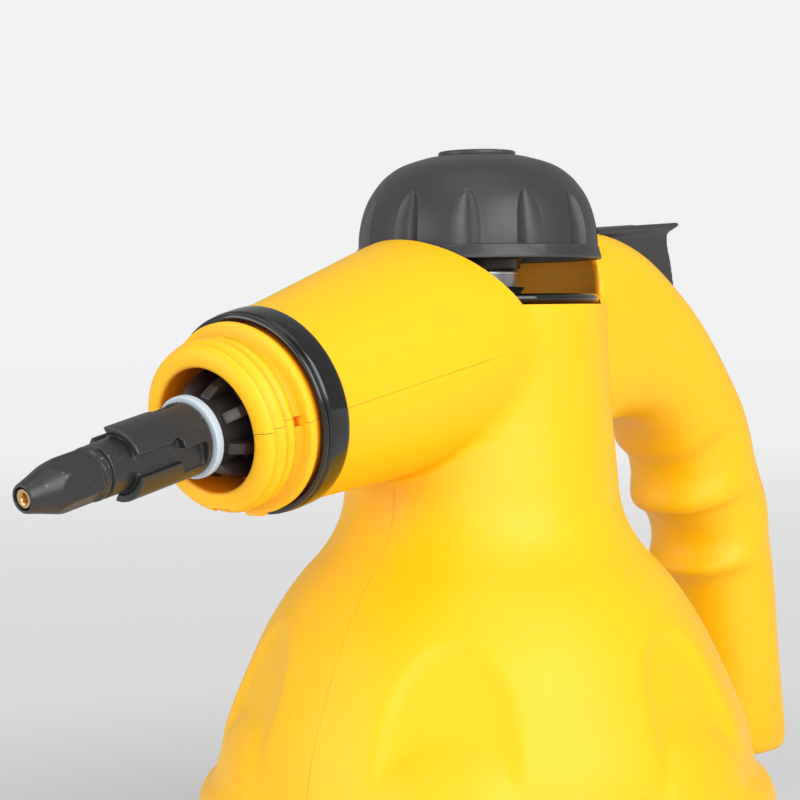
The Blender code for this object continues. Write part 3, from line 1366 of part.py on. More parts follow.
def bayonet_slot():
    """A J-shaped slot in the side of the sleeve, at +X."""
    half = SLOT_WIDTH / 2
    end = NOZZLE_SLEEVE_END - SLOT_LENGTH
    mouth = NOZZLE_SLEEVE_END + OVERRUN / 2
    outline = [
        (-half, end),
        (SLOT_HOOK - half, end),
        (SLOT_HOOK - half, end + SLOT_WIDTH),
        (half, end + SLOT_WIDTH),
        (half, mouth),
        (-half, mouth),
    ]
    return prism("slot", outline, NOZZLE_SLEEVE_RADIUS - SLOT_DEPTH, NOZZLE_SLEEVE_RADIUS * 2)


def nozzle_o_ring(finish):
    start = NOZZLE_RING_START + SEAT_GAP
    end = NOZZLE_RING_START + NOZZLE_RING_LENGTH - SEAT_GAP
    inner = NOZZLE_GROOVE_RADIUS + SEAT_GAP
    edge = NOZZLE_EDGE / 2
    outline = [
        (inner, start),
        (RING_RADIUS - edge, start),
        (RING_RADIUS, start + edge),
        (RING_RADIUS, end - edge),
        (RING_RADIUS - edge, end),
        (inner, end),
    ]
    on_barrel(finished(turned("nozzle_o_ring", outline, ROUND, finish)))


def nozzle_jet(finish):
    start = NOZZLE_TIP - JET_LENGTH
    end = NOZZLE_TIP - JET_RECESS
    outline = [(JET_BORE, start), (JET_RADIUS, start), (JET_RADIUS, end), (JET_BORE, end)]
    on_barrel(finished(turned("nozzle_jet", outline, TINY, finish)))


def trigger_outline():
    """(y, z) round the lever: dished top, flared rear lip, skirt, and its pivot's cheek."""
    top = SHELF_HEIGHT + TRIGGER_TOP_HEIGHT
    lip = SHELF_HEIGHT + TRIGGER_LIP_HEIGHT
    wall = TRIGGER_SKIRT_WALL
    upper = [(TRIGGER_FRONT + along * TRIGGER_LENGTH, top + up * (lip - top)) for along, up in TRIGGER_TOP_SHARES]
    rear = [
        (TRIGGER_FRONT + along * TRIGGER_LENGTH, lip - down * TRIGGER_SKIRT_DROP) for along, down in TRIGGER_REAR_SHARES
    ]
    under = [
        (TRIGGER_FRONT + along * TRIGGER_LENGTH - wall, lip - down * TRIGGER_SKIRT_DROP)
        for along, down in TRIGGER_SKIRT_SHARES
    ]
    under += [(TRIGGER_FRONT + along * TRIGGER_LENGTH, top - TRIGGER_PLATE) for along in TRIGGER_UNDER_SHARES]
    pivot_y, pivot_z = trigger_pivot()
    cheek = [
        (pivot_y + TRIGGER_BOSS_RADIUS * math.cos(angle), pivot_z + TRIGGER_BOSS_RADIUS * math.sin(angle))
        for angle in (math.radians(a) for a in (10, -20, -55, -90, -125, -160))
    ]
    front = [(TRIGGER_FRONT, pivot_z + TRIGGER_BOSS_RADIUS / 2)]
    return spline(upper, 3) + spline(rear, 2) + under + cheek + front


def trigger_lever(finish):
    lever = prism("trigger_lever", trigger_outline(), -TRIGGER_HALF_WIDTH, TRIGGER_HALF_WIDTH)
    pivot_y, pivot_z = trigger_pivot()
    far = TRIGGER_HALF_WIDTH + OVERRUN
    bore = rod("bore", TRIGGER_PIN_RADIUS + RUNNING_GAP, (-far, pivot_y, pivot_z), (far, pivot_y, pivot_z), TINY)
    lever = combine(lever, bore, "DIFFERENCE")
    finished(lever, finish)
    lever.data.transform(Matrix.Translation((0, -pivot_y, -pivot_z)))
    lever.location = (0, pivot_y, pivot_z)


def trigger_pin(finish):
    pivot_y, pivot_z = trigger_pivot()
    half = PIN_LENGTH / 2
    finished(rod("trigger_pin", TRIGGER_PIN_RADIUS, (-half, pivot_y, pivot_z), (half, pivot_y, pivot_z), TINY, finish))


def valve_top():
    return SHELF_HEIGHT - VALVE_TOP_DROP


def valve_body(finish):
    """The steam valve's body: a drum with side ears, an inlet and an outlet nipple."""
    top = valve_top()
    drum = rod("drum", VALVE_RADIUS, (0, VALVE_OFFSET, top - VALVE_HEIGHT), (0, VALVE_OFFSET, top), 24)
    width, depth, height = VALVE_EAR_SPAN, VALVE_EAR_WIDTH, VALVE_EAR_HEIGHT
    ear_top = SHELF_HEIGHT - VALVE_EAR_DROP + height / 2
    ears = block(
        "ears",
        (-width / 2, VALVE_OFFSET - depth / 2, ear_top - height),
        (width / 2, VALVE_OFFSET + depth / 2, ear_top),
    )
    drum = combine(drum, ears, "UNION")
    end = VALVE_OFFSET - VALVE_RADIUS - NIPPLE_LENGTH
    for fall in (INLET_DROP, OUTLET_DROP):
        high = SHELF_HEIGHT - fall
        nipple = rod("nipple", PORT_RADIUS, (0, end, high), (0, VALVE_OFFSET, high), TINY)
        drum = combine(drum, nipple, "UNION")
    bore = rod(
        "bore", VALVE_BORE, (0, VALVE_OFFSET, top - VALVE_BORE_DEPTH), (0, VALVE_OFFSET, top + OVERRUN), 16
    )
    drum = combine(drum, bore, "DIFFERENCE")
    drum.name = "valve_body"
    finished(drum, finish)


def trigger_underside():
    return SHELF_HEIGHT + TRIGGER_TOP_HEIGHT - TRIGGER_PLATE


def valve_plunger(finish):
    low = valve_top() - PLUNGER_DEPTH
    high = trigger_underside() - SEAT_GAP
    finished(rod("valve_plunger", PLUNGER_RADIUS, (0, VALVE_OFFSET, low), (0, VALVE_OFFSET, high), TINY, finish))


def valve_spring(finish):
    coil(
        "valve_spring",
        (0, VALVE_OFFSET),
        VALVE_SPRING_RADIUS,
        VALVE_SPRING_WIRE,
        valve_top() + SEAT_GAP,
        trigger_underside() - SEAT_GAP,
        VALVE_SPRING_TURNS,
        finish,
    )


def steam_hoses(finish):
    """The hose from the boiler's port to the valve, and the one on to the nozzle's socket."""
    nipple = VALVE_OFFSET - VALVE_RADIUS - NIPPLE_LENGTH - SEAT_GAP
    inlet = SHELF_HEIGHT - INLET_DROP
    start = STEAM_PORT_TOP + SEAT_GAP
    bend = nipple - STEAM_PORT_OFFSET
    into = [(0, STEAM_PORT_OFFSET + y * bend, start + z * (inlet - start)) for y, z in HOSE_IN_SHARES]
    tube("steam_hose_in", spline(into, 3), HOSE_RADIUS, finish)
    outlet = SHELF_HEIGHT - OUTLET_DROP
    mouth = barrel_place() @ Vector((0, 0, NOZZLE_REAR - SOCKET_REAR_HOSE))
    aside = (FILLER_FLANGE_RADIUS + NECK_RADIUS - WALL) / 2
    fall = outlet - mouth.z
    out = [(x * aside, y * nipple, outlet - z * fall) for x, y, z in HOSE_REAR_SHARES]
    out += [(x * aside, y * mouth.y, outlet - z * fall) for x, y, z in HOSE_FRONT_SHARES]
    tube("steam_hose_out", spline(out, 3), HOSE_RADIUS, finish)


def cord_inlet(finish):
    """The bush in the grip's end that a supply cord would pass."""
    end = SHELF_HEIGHT - GRIP_DROP
    flange_top = end + INLET_FLANGE_THICKNESS
    outline = [
        (INLET_BORE, end),
        (INLET_FLANGE_RADIUS, end),
        (INLET_FLANGE_RADIUS, flange_top),
        (INLET_NECK_RADIUS, flange_top),
        (INLET_NECK_RADIUS, flange_top + INLET_NECK_LENGTH),
        (INLET_BORE, flange_top + INLET_NECK_LENGTH),
    ]
    bush = finished(turned("cord_inlet", outline, 20, finish))
    bush.location = (0, INLET_OFFSET, 0)


def build():
    clear_scene()
    yellow = material("yellow moulded ABS", "FFC814", 0.38)
    black_gloss = material("gloss black ABS", "0B0B0C", 0.12)
    dark_grey = material("dark grey satin polypropylene", "3F3E40", 0.42)
    black_nylon = material("black glass-filled nylon", "1A1B1C", 0.45)
    brown = material("dark brown phenolic", "241B18", 0.40)
    rubber = material("black rubber", "151515", 0.75)
    pale = material("pale silicone", "A9B9C8", 0.45)
    brass = material("brass", "C9A063", 0.30, 1.0)
    nickel = material("plated brass", "C8C6C0", 0.20, 1.0)
    steel = material("zinc-plated steel", "A5A7AA", 0.35, 1.0)
    cast = material("cast aluminium", "9A9C9E", 0.55, 1.0)
    white = material("white silicone", "D8D8D2", 0.50)

    housing_halves(yellow)
    housing_screws(steel)
    base_cover(dark_grey)
    base_screws(steel)
    collar_halves(yellow)
    barrel_band(black_gloss)
    nozzle_socket(brown)
    nozzle_body(black_nylon)
    nozzle_o_ring(pale)
    nozzle_jet(brass)
    lid_top = boiler_halves(cast)
    boiler_gasket(rubber)
    boiler_screws(lid_top, steel)
    heating_element(steel)
    thermostat(black_nylon)
    thermal_fuse(nickel)
    terminal_block(white)
    filler_neck(nickel)
    shelf_plate(black_gloss)
    neck_gasket(rubber)
    cap_shell(dark_grey)
    cap_disc(dark_grey)
    cap_retainer(steel)
    bore_low, bore_top = cap_plug(brown)
    cap_seal(rubber)
    relief_valve(bore_low, bore_top, brass, steel)
    cap_spring(steel)
    trigger_lever(dark_grey)
    trigger_pin(steel)
    valve_body(brass)
    valve_plunger(steel)
    valve_spring(steel)
    steam_hoses(white)
    cord_inlet(rubber)


build()
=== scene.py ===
"""Looks of the handheld steam cleaner: moulded yellow housing, scalloped cap, ridged collar and jet."""
import math

import bmesh
import bpy
from mathutils import Matrix, Vector


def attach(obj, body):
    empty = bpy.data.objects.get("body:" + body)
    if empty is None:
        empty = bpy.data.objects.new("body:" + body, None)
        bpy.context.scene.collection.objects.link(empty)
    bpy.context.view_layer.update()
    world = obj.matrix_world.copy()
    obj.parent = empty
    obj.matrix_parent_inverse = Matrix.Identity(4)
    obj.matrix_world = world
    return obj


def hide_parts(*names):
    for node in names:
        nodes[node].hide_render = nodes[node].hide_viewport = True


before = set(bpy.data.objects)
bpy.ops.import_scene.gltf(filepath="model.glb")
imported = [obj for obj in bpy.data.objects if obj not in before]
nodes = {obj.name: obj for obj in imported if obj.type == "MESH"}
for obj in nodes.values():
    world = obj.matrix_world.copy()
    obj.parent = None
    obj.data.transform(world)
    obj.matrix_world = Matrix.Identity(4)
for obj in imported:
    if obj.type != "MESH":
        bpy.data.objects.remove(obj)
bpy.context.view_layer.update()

FULL = 2 * math.pi
MM = 0.001
METRE = 1000.0                # in mm

# Driving sizes, in mm from the origin in the middle of the standing face
SHELF = 176.0                 # height of the shelf under the cap
POCKET = 32.1                 # radius of the pocket that the cap sits in
BARREL_HEIGHT = 170.2         # where the barrel's axis crosses the body's axis
BARREL_DROP = math.radians(12)
BODY_LOW = 3.3                # underside of the housing
WALL, BELL_WALL = 2.4, 5.2    # thickness of the housing, and of its pressed lower part
PIVOT = (45.0, 187.0)         # the trigger's pin, back and up
HEAD_BORE, SHANK_BORE = 3.3, 1.8
BEYOND = 60.0                 # how far a cutting shape runs past what it cuts

# Sizes of the patterns, in mm
FLOW = 45.0                   # drift of the colour in a moulding
TOUCH = 9.0                   # marks of handling
STAIN = 6.0                   # stains on metal

# A Mix node's sockets when it mixes colours
FIRST, SECOND, MIXED = 6, 7, 2


# Finishes

def linear(colour):
    """An sRGB hex value as linear RGBA."""
    channels = [int(colour[i:i + 2], 16) / 255 for i in (0, 2, 4)]
    return tuple(c / 12.92 if c <= 0.04045 else ((c + 0.055) / 1.055) ** 2.4 for c in channels) + (1.0,)


def add(tree, kind, settings=None, links=None):
    """Adds a node: settings are properties or socket values, links join a socket to an output or a node."""
    made = tree.nodes.new(kind)
    for key, value in (settings or {}).items():
        if isinstance(key, str) and hasattr(made, key):
            setattr(made, key, value)
        else:
            made.inputs[key].default_value = value
    for key, source in (links or {}).items():
        tree.links.new(getattr(source, "outputs", [source])[0], made.inputs[key])
    return made


def coat(made, colour, rough, height, depth, values):
    """Joins a finish's colour, roughness and relief to its shader and sets the shader's plain values."""
    tree = made.node_tree
    skin = tree.nodes["Principled BSDF"]
    relief = add(tree, "ShaderNodeBump", {"Strength": 1.0, "Distance": depth * MM}, {"Height": height})
    tree.links.new(colour, skin.inputs["Base Color"])
    tree.links.new(rough, skin.inputs["Roughness"])
    tree.links.new(relief.outputs[0], skin.inputs["Normal"])
    for key, value in values.items():
        skin.inputs[key].default_value = value
    return made


def started(name):
    """A new finish with its node tree and the place on the object, in metres."""
    made = bpy.data.materials.new(name)
    made.use_nodes = True
    return made, made.node_tree, add(made.node_tree, "ShaderNodeTexCoord").outputs["Object"]


def moulded(name, dark, light, rubbed, rough, grain, depth, deep=None, **values):
    """Moulded plastic or rubber: colour that drifts with the flow, spark grain, and edges rubbed paler.

    A deep colour is painted shade in hollows, picked by ambient occlusion, standing in for light that has
    bounced through the plastic more than once."""
    made, tree, where = started(name)
    flow = add(tree, "ShaderNodeTexNoise", {"Scale": METRE / FLOW, "Detail": 2.0}, {"Vector": where})
    tint = add(tree, "ShaderNodeMix", {"data_type": "RGBA", FIRST: linear(dark), SECOND: linear(light)},
               {0: flow})
    touch = add(tree, "ShaderNodeTexNoise", {"Scale": METRE / TOUCH, "Detail": 4.0, "Roughness": 0.6},
                {"Vector": where})
    edge = add(tree, "ShaderNodeMapRange", {"From Min": 0.52, "From Max": 0.64},
               {"Value": add(tree, "ShaderNodeNewGeometry").outputs["Pointiness"]})
    wear = add(tree, "ShaderNodeMath", {"operation": "MULTIPLY"}, {0: edge, 1: touch})
    colour = add(tree, "ShaderNodeMix", {"data_type": "RGBA", SECOND: linear(rubbed)},
                 {0: wear, FIRST: tint.outputs[MIXED]})
    polish = add(tree, "ShaderNodeMapRange", {"To Min": rough - 0.05, "To Max": rough + 0.06},
                 {"Value": touch})
    even = add(tree, "ShaderNodeMath", {"operation": "MULTIPLY_ADD", 1: -0.12}, {0: wear, 2: polish})
    spark = add(tree, "ShaderNodeTexNoise", {"Scale": METRE / grain, "Detail": 1.0}, {"Vector": where})
    # Painted shade: where ambient occlusion finds a hollow, the colour turns to the deep one
    if deep:
        painted_shade_occlusion = add(tree, "ShaderNodeAmbientOcclusion", {"samples": 8, "Distance": 18 * MM})
        painted_shade_mask = add(tree, "ShaderNodeMapRange", {"From Min": 0.28, "From Max": 0.80},
                       {"Value": painted_shade_occlusion.outputs["AO"]})
        colour = add(tree, "ShaderNodeMix", {"data_type": "RGBA", FIRST: linear(deep)},
                     {0: painted_shade_mask, SECOND: colour.outputs[MIXED]})
    return coat(made, colour.outputs[MIXED], even.outputs[0], spark, depth, values)


def turned_metal(name, dark, light, rough, line, depth, **values):
    """Metal off the lathe: fine lines round the part, slight staining, and bright edges."""
    made, tree, where = started(name)
    stain = add(tree, "ShaderNodeTexNoise", {"Scale": METRE / STAIN, "Detail": 4.0}, {"Vector": where})
    tint = add(tree, "ShaderNodeMix", {"data_type": "RGBA", FIRST: linear(dark), SECOND: linear(light)},
               {0: stain})
    edge = add(tree, "ShaderNodeMapRange", {"From Min": 0.52, "From Max": 0.62},
               {"Value": add(tree, "ShaderNodeNewGeometry").outputs["Pointiness"]})
    colour = add(tree, "ShaderNodeMix", {"data_type": "RGBA", SECOND: linear(light)},
                 {0: edge, FIRST: tint.outputs[MIXED]})
    polish = add(tree, "ShaderNodeMapRange", {"To Min": rough - 0.06, "To Max": rough + 0.08},
                 {"Value": stain})
    even = add(tree, "ShaderNodeMath", {"operation": "MULTIPLY_ADD", 1: -0.05}, {0: edge, 2: polish})
    lines = add(tree, "ShaderNodeTexWave", {"bands_direction": "Z", "Scale": METRE / line / FULL,
                                            "Distortion": 1.5, "Detail": 2.0}, {"Vector": where})
    return coat(made, colour.outputs[MIXED], even.outputs[0], lines.outputs["Fac"], depth,
                {"Metallic": 1.0, **values})


def filled_nylon(name):
    """Glass-filled nylon: black, with short pale fibres at the skin and chalky rubbed edges."""
    made, tree, where = started(name)
    # Fibres are 0.01 mm thick; they are drawn at 0.3 mm so that they show at all
    fibres = add(tree, "ShaderNodeTexVoronoi", {"Scale": METRE / 0.9}, {"Vector": where})
    near = add(tree, "ShaderNodeMapRange", {"From Min": 0.02, "From Max": 0.17}, {"Value": fibres})
    tint = add(tree, "ShaderNodeMix", {"data_type": "RGBA", FIRST: linear("5A5A5B"),
                                       SECOND: linear("262627")}, {0: near})
    touch = add(tree, "ShaderNodeTexNoise", {"Scale": METRE / 2.2, "Detail": 4.0, "Roughness": 0.65},
                {"Vector": where})
    edge = add(tree, "ShaderNodeMapRange", {"From Min": 0.53, "From Max": 0.66},
               {"Value": add(tree, "ShaderNodeNewGeometry").outputs["Pointiness"]})
    wear = add(tree, "ShaderNodeMath", {"operation": "MULTIPLY"}, {0: edge, 1: touch})
    colour = add(tree, "ShaderNodeMix", {"data_type": "RGBA", SECOND: linear("77787A")},
                 {0: wear, FIRST: tint.outputs[MIXED]})
    polish = add(tree, "ShaderNodeMapRange", {"To Min": 0.24, "To Max": 0.50}, {"Value": touch})
    grain = add(tree, "ShaderNodeTexNoise", {"Scale": METRE / 0.5, "Detail": 2.0}, {"Vector": where})
    return coat(made, colour.outputs[MIXED], polish.outputs[0], grain, 0.014, {"IOR": 1.53})


def finishes():
    """Every finish of the cleaner by its short name; the grain's size and depth are in mm."""
    made = {}
    # Satin ABS in a warm signal yellow: light goes in a little way, so that shaded parts turn to amber;
    # hollows also get painted shade in a deeper amber
    made["housing"] = moulded("satin yellow ABS", "FFB904", "FFC508", "FFD850",
                              rough=0.44, grain=0.55, depth=0.004, deep="E67A00", IOR=1.53, **{
                                  "Specular IOR Level": 0.36, "Subsurface Weight": 0.16,
                                  "Subsurface Scale": 4 * MM, "Subsurface Radius": (1.0, 0.42, 0.04)})
    # Polypropylene of the cap and lever: dark warm grey with the soft sheen of a spark-eroded tool
    made["cap"] = moulded("satin dark grey polypropylene", "2C2B2B", "383737", "6E6D6E",
                          rough=0.40, grain=0.45, depth=0.010, IOR=1.49)
    # The same plastic under the body, duller where it stands
    made["cover"] = moulded("matt dark grey polypropylene", "323133", "3E3D3F", "6A696C",
                            rough=0.54, grain=0.5, depth=0.016, IOR=1.49)
    # Polished black ABS of the band and the dished plate
    made["gloss"] = moulded("polished black ABS", "070708", "0E0E10", "2A2A2C",
                            rough=0.10, grain=1.2, depth=0.0008, IOR=1.53, **{
                                "Coat Weight": 0.3, "Coat Roughness": 0.04})
    # The nozzle's nylon is stiffened with glass, whose fibres grey its skin
    made["nylon"] = filled_nylon("black glass-filled nylon")
    # Phenolic resin is dark brown all through, with a dull shine like old bronze
    made["phenolic"] = moulded("dark brown phenolic", "17110E", "261C17", "4E4038",
                               rough=0.42, grain=0.6, depth=0.010, IOR=1.6)
    # Mineral-filled nylon of the plug: bronze grey with a faint glint
    made["plug"] = moulded("bronze grey filled nylon", "3A312B", "4E4339", "7C6E60",
                           rough=0.28, grain=0.35, depth=0.010, IOR=1.53, Metallic=0.35)
    # Nitrile rubber: dull, with a bloom of talc
    made["rubber"] = moulded("black nitrile rubber", "111111", "1E1E1E", "3A3A3A",
                             rough=0.72, grain=0.6, depth=0.014, IOR=1.52)
    # Pale silicone of the O-ring: soft, and lit a little way in
    made["silicone"] = moulded("pale blue grey silicone", "B2BFC9", "C4D0D9", "DCE4EA",
                               rough=0.40, grain=0.7, depth=0.004, IOR=1.41, **{
                                   "Subsurface Weight": 0.15, "Subsurface Scale": 1 * MM})
    # Milky silicone of the hoses, and the terminal block's glazed white
    made["white"] = moulded("milky white silicone", "CCCBC3", "DEDDD6", "ECEBE6",
                            rough=0.48, grain=0.8, depth=0.006, IOR=1.41, **{
                                "Subsurface Weight": 0.10, "Subsurface Scale": 1 * MM})
    # Free-cutting brass, fresh from the lathe
    made["brass"] = turned_metal("turned brass", "C09A68", "E0BE8C", rough=0.26, line=0.30, depth=0.004)
    # Nickel plate over brass, bright, with water marks
    made["plated"] = turned_metal("nickel-plated brass", "DEDCDA", "F6F4F2",
                                  rough=0.38, line=0.45, depth=0.003)
    # Zinc-plated steel: slightly blue and mottled
    made["steel"] = turned_metal("zinc-plated steel", "989BA0", "B8BABD",
                                 rough=0.32, line=0.35, depth=0.004)
    # Aluminium as it leaves the sand: dull and grainy
    made["cast"] = moulded("sand-blasted cast aluminium", "8C8E90", "A6A8AA", "C4C6C8",
                           rough=0.50, grain=0.8, depth=0.04, Metallic=1.0)
    return made


# Shaping helpers, all in mm

def to_object(name, bm, finish=None, crisp=35):
    """Closes a shape into a piece that faces outwards, its edges kept crisp above an angle."""
    bmesh.ops.remove_doubles(bm, verts=bm.verts, dist=0.001)
    bmesh.ops.recalc_face_normals(bm, faces=bm.faces)
    if bm.calc_volume(signed=True) < 0:
        bmesh.ops.reverse_faces(bm, faces=bm.faces)
    bmesh.ops.scale(bm, verts=bm.verts, vec=(MM, MM, MM))
    mesh = bpy.data.meshes.new(name)
    bm.to_mesh(mesh)
    bm.free()
    piece = bpy.data.objects.new(name, mesh)
    bpy.context.scene.collection.objects.link(piece)
    return shaded(piece, finish, crisp)


def shaded(piece, finish, crisp=35):
    """Smooth shading with the edges sharper than an angle kept crisp, and the piece's finish."""
    piece.data.shade_smooth()
    piece.data.set_sharp_from_angle(angle=math.radians(crisp))
    piece.data.materials.clear()
    if finish:
        piece.data.materials.append(finish)
    return piece


def seat(piece, body, slot, *stands_for):
    """Fixes a finished piece to its body and hides the nodes that it stands for; the slot is not used."""
    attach(piece, body)
    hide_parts(*stands_for)
    return piece


def lathe(outline, steps):
    """A shape turned round Z from (radius, height) points; its profile closes if it leaves the axis."""
    bm = bmesh.new()
    verts = [bm.verts.new((radius, 0, height)) for radius, height in outline]
    pairs = list(zip(verts, verts[1:]))
    if outline[0][0] > 0:
        pairs.append((verts[-1], verts[0]))
    edges = [bm.edges.new(pair) for pair in pairs]
    bmesh.ops.spin(bm, geom=verts + edges, cent=(0, 0, 0), axis=(0, 0, 1), angle=FULL, steps=steps,
                   use_merge=True)
    bmesh.ops.remove_doubles(bm, verts=bm.verts, dist=0.0005)
    return bm


def flowing(points, spans):
    """A smooth line through points of any size, with as many steps in each span."""
    line, count = [], len(points)
    for i in range(count - 1):
        a, b, c, d = points[max(i - 1, 0)], points[i], points[i + 1], points[min(i + 2, count - 1)]
        for k in range(spans):
            t = k / spans
            point = []
            for p, q, r, s in zip(a, b, c, d):
                square = 2 * p - 5 * q + 4 * r - s
                cube = 3 * q - p - 3 * r + s
                point.append(0.5 * (2 * q + (r - p) * t + square * t * t + cube * t ** 3))
            line.append(tuple(point))
    line.append(tuple(points[-1]))
    return line


def rounded(outline, radius, steps=4):
    """Rounds every corner of a closed outline."""
    made = []
    for before, corner, after in zip(outline[-1:] + outline, outline, outline[1:] + outline[:1]):
        p, c, q = Vector(before), Vector(corner), Vector(after)
        reach = min(radius, (p - c).length * 0.45, (q - c).length * 0.45)
        start, end = c + (p - c).normalized() * reach, c + (q - c).normalized() * reach
        for i in range(steps + 1):
            t = i / steps
            made.append(tuple(start * (1 - t) ** 2 + c * 2 * t * (1 - t) + end * t * t))
    return made


def placed(bm, matrix):
    """Moves or turns a shape."""
    bmesh.ops.transform(bm, verts=bm.verts, matrix=matrix)
    return bm


def on_barrel(bm):
    """Moves a shape drawn about Z on to the barrel's sloping axis."""
    turn = Matrix.Rotation(math.pi / 2 + BARREL_DROP, 4, "X")
    return placed(bm, Matrix.Translation((0, 0, BARREL_HEIGHT)) @ turn)


def rod(radius, start, end, steps=48):
    """A cylinder between two points."""
    start, end = Vector(start), Vector(end)
    bm = bmesh.new()
    bmesh.ops.create_cone(bm, cap_ends=True, segments=steps, radius1=radius, radius2=radius,
                          depth=(end - start).length)
    turn = (end - start).to_track_quat("Z", "Y").to_matrix().to_4x4()
    return placed(bm, Matrix.Translation((start + end) / 2) @ turn)


def box(low, high):
    """A box between two corners."""
    low, high = Vector(low), Vector(high)
    bm = bmesh.new()
    bmesh.ops.create_cube(bm, size=1)
    return placed(bm, Matrix.Translation((low + high) / 2) @ Matrix.Diagonal((*(high - low), 1)))


def drawn_out(points, way):
    """A flat outline drawn out along a vector into a solid."""
    bm = bmesh.new()
    face = bm.faces.new([bm.verts.new(point) for point in points])
    grown = bmesh.ops.extrude_face_region(bm, geom=[face])["geom"]
    bmesh.ops.translate(bm, verts=[v for v in grown if isinstance(v, bmesh.types.BMVert)], vec=way)
    return bm


def bake(piece):
    """Applies a piece's modifiers."""
    bpy.context.view_layer.update()
    graph = bpy.context.evaluated_depsgraph_get()
    shaped = bpy.data.meshes.new_from_object(piece.evaluated_get(graph))
    piece.modifiers.clear()
    old = piece.data
    piece.data = shaped
    bpy.data.meshes.remove(old)
    return piece


def cut(piece, tool, operation="DIFFERENCE"):
    """Cuts, joins or keeps with a tool shape, which is used up."""
    if isinstance(tool, bmesh.types.BMesh):
        tool = to_object("tool", tool)
    step = piece.modifiers.new(operation, "BOOLEAN")
    step.operation, step.solver, step.object = operation, "MANIFOLD", tool
    bake(piece)
    bpy.data.objects.remove(tool, do_unlink=True)
    return piece


def poured(parts, name):
    """Several closed shapes as one object, still in separate shells."""
    whole = bmesh.new()
    for bm in parts:
        bmesh.ops.recalc_face_normals(bm, faces=bm.faces)
        mesh = bpy.data.meshes.new(name)
        bm.to_mesh(mesh)
        bm.free()
        whole.from_mesh(mesh)
        bpy.data.meshes.remove(mesh)
    return to_object(name, whole)


def melt(piece, grain, passes):
    """Melts a piece's shells into one even skin, and eases its edges."""
    step = piece.modifiers.new("melt", "REMESH")
    step.mode, step.voxel_size, step.use_smooth_shade = "VOXEL", grain * MM, True
    bake(piece)
    return ease(piece, passes)


def ease(piece, passes, chosen=None):
    """Smooths a piece, or only where a test of the point in mm picks it."""
    bm = bmesh.new()
    bm.from_mesh(piece.data)
    verts = [vert for vert in bm.verts if chosen is None or chosen(vert.co / MM)]
    for _ in range(passes):
        bmesh.ops.smooth_vert(bm, verts=verts, factor=0.5, use_axis_x=True, use_axis_y=True,
                              use_axis_z=True)
    bm.to_mesh(piece.data)
    bm.free()
    return piece


# The housing

# The body's outline from top to bottom, as (height, radius)
BODY = [(180.0, 31.3), (154.9, 32.06), (137.3, 33.4), (127.2, 34.4), (121.1, 36.65), (116.2, 39.9),
        (110.9, 44.8), (104.5, 49.6), (95.0, 55.2), (77.4, 63.0), (67.8, 65.5), (54.0, 67.6), (38.7, 68.85),
        (24.6, 69.5), (12.3, 68.9), (3.3, 66.0), (-3.0, 65.0)]
# The ring round the foot, as (radius, height)
FOOT_RING = [(0, BODY_LOW), (66.0, BODY_LOW), (69.6, 9.0), (71.2, 20.0), (71.3, 53.0), (71.1, 56.6),
             (70.2, 59.2), (68.8, 60.9), (67.0, 61.8), (65.0, 62.1), (0, 62.1)]
# The barrel, as (place along its axis, radius)
BARREL = [(0.0, 28.5), (12.2, 28.35), (27.4, 27.7), (43.4, 25.9), (59.4, 24.0), (68.0, 23.0), (76.2, 22.2),
          (80.0, 21.8)]
MOUTH = 76.2                  # where the barrel ends and the band begins
PANELS = 6                    # arched panels round the bell, each with a lobe below it
PANEL_HALF = math.radians(14.5)
PANEL_SPRING, PANEL_TOP = 82.0, 101.0     # heights where a panel's arch springs and where it ends
PANEL_STEP, PANEL_BORDER = 1.0, 1.8       # depth and width of the step round a panel
# Sections down the grip: its outer and its inner point in the seam plane, as shares of the grip's length and
# drop, its half-width as a share, and how square it is
GRIP = [(0.122, 0.148, 0.122, -0.232, 1.06, 3.0), (0.260, 0.151, 0.275, -0.255, 1.05, 2.9),
        (0.351, 0.143, 0.359, -0.239, 1.04, 2.9), (0.443, 0.115, 0.427, -0.236, 1.03, 2.8),
        (0.534, 0.064, 0.481, -0.243, 1.02, 2.7), (0.618, 0.007, 0.527, -0.266, 1.01, 2.6),
        (0.695, -0.060, 0.562, -0.297, 1.00, 2.5), (0.760, -0.128, 0.581, -0.324, 1.00, 2.4),
        (0.811, -0.193, 0.609, -0.346, 1.00, 2.4), (0.850, -0.259, 0.624, -0.390, 1.00, 2.3),
        (0.878, -0.320, 0.619, -0.443, 1.00, 2.3), (0.897, -0.367, 0.660, -0.463, 0.99, 2.3),
        (0.915, -0.413, 0.698, -0.502, 0.99, 2.3), (0.927, -0.459, 0.704, -0.544, 0.99, 2.2),
        (0.937, -0.506, 0.687, -0.582, 0.99, 2.2), (0.945, -0.556, 0.721, -0.614, 0.98, 2.2),
        (0.954, -0.625, 0.740, -0.672, 0.97, 2.2), (0.964, -0.710, 0.752, -0.749, 0.96, 2.2),
        (0.975, -0.803, 0.762, -0.826, 0.95, 2.3), (0.986, -0.896, 0.771, -0.907, 0.94, 2.5),
        (0.990, -0.958, 0.783, -0.964, 0.92, 2.8), (0.985, -1.000, 0.800, -1.000, 0.86, 3.0)]
GRIP_LENGTH, GRIP_DROP, GRIP_HALF = 131.0, 129.5, 17.2
GRIP_END = SHELF - GRIP_DROP
CREASES = (7.5, 10.5, 14.4)   # sections at which a crease starts, one under each finger
CREASE_FALL = 2.6             # sections that a crease takes to fade out
CREASE_DEPTH = 1.5
# Screws of the housing, in the grip's shares
SCREW_SHARES = ((-0.300, -0.245), (0.560, -0.140), (0.790, -0.370), (0.865, -0.800))
SCREWS = [(along * GRIP_LENGTH, SHELF + up * GRIP_DROP) for along, up in SCREW_SHARES]
INLET = 116.5                 # how far back the bush in the grip's end sits


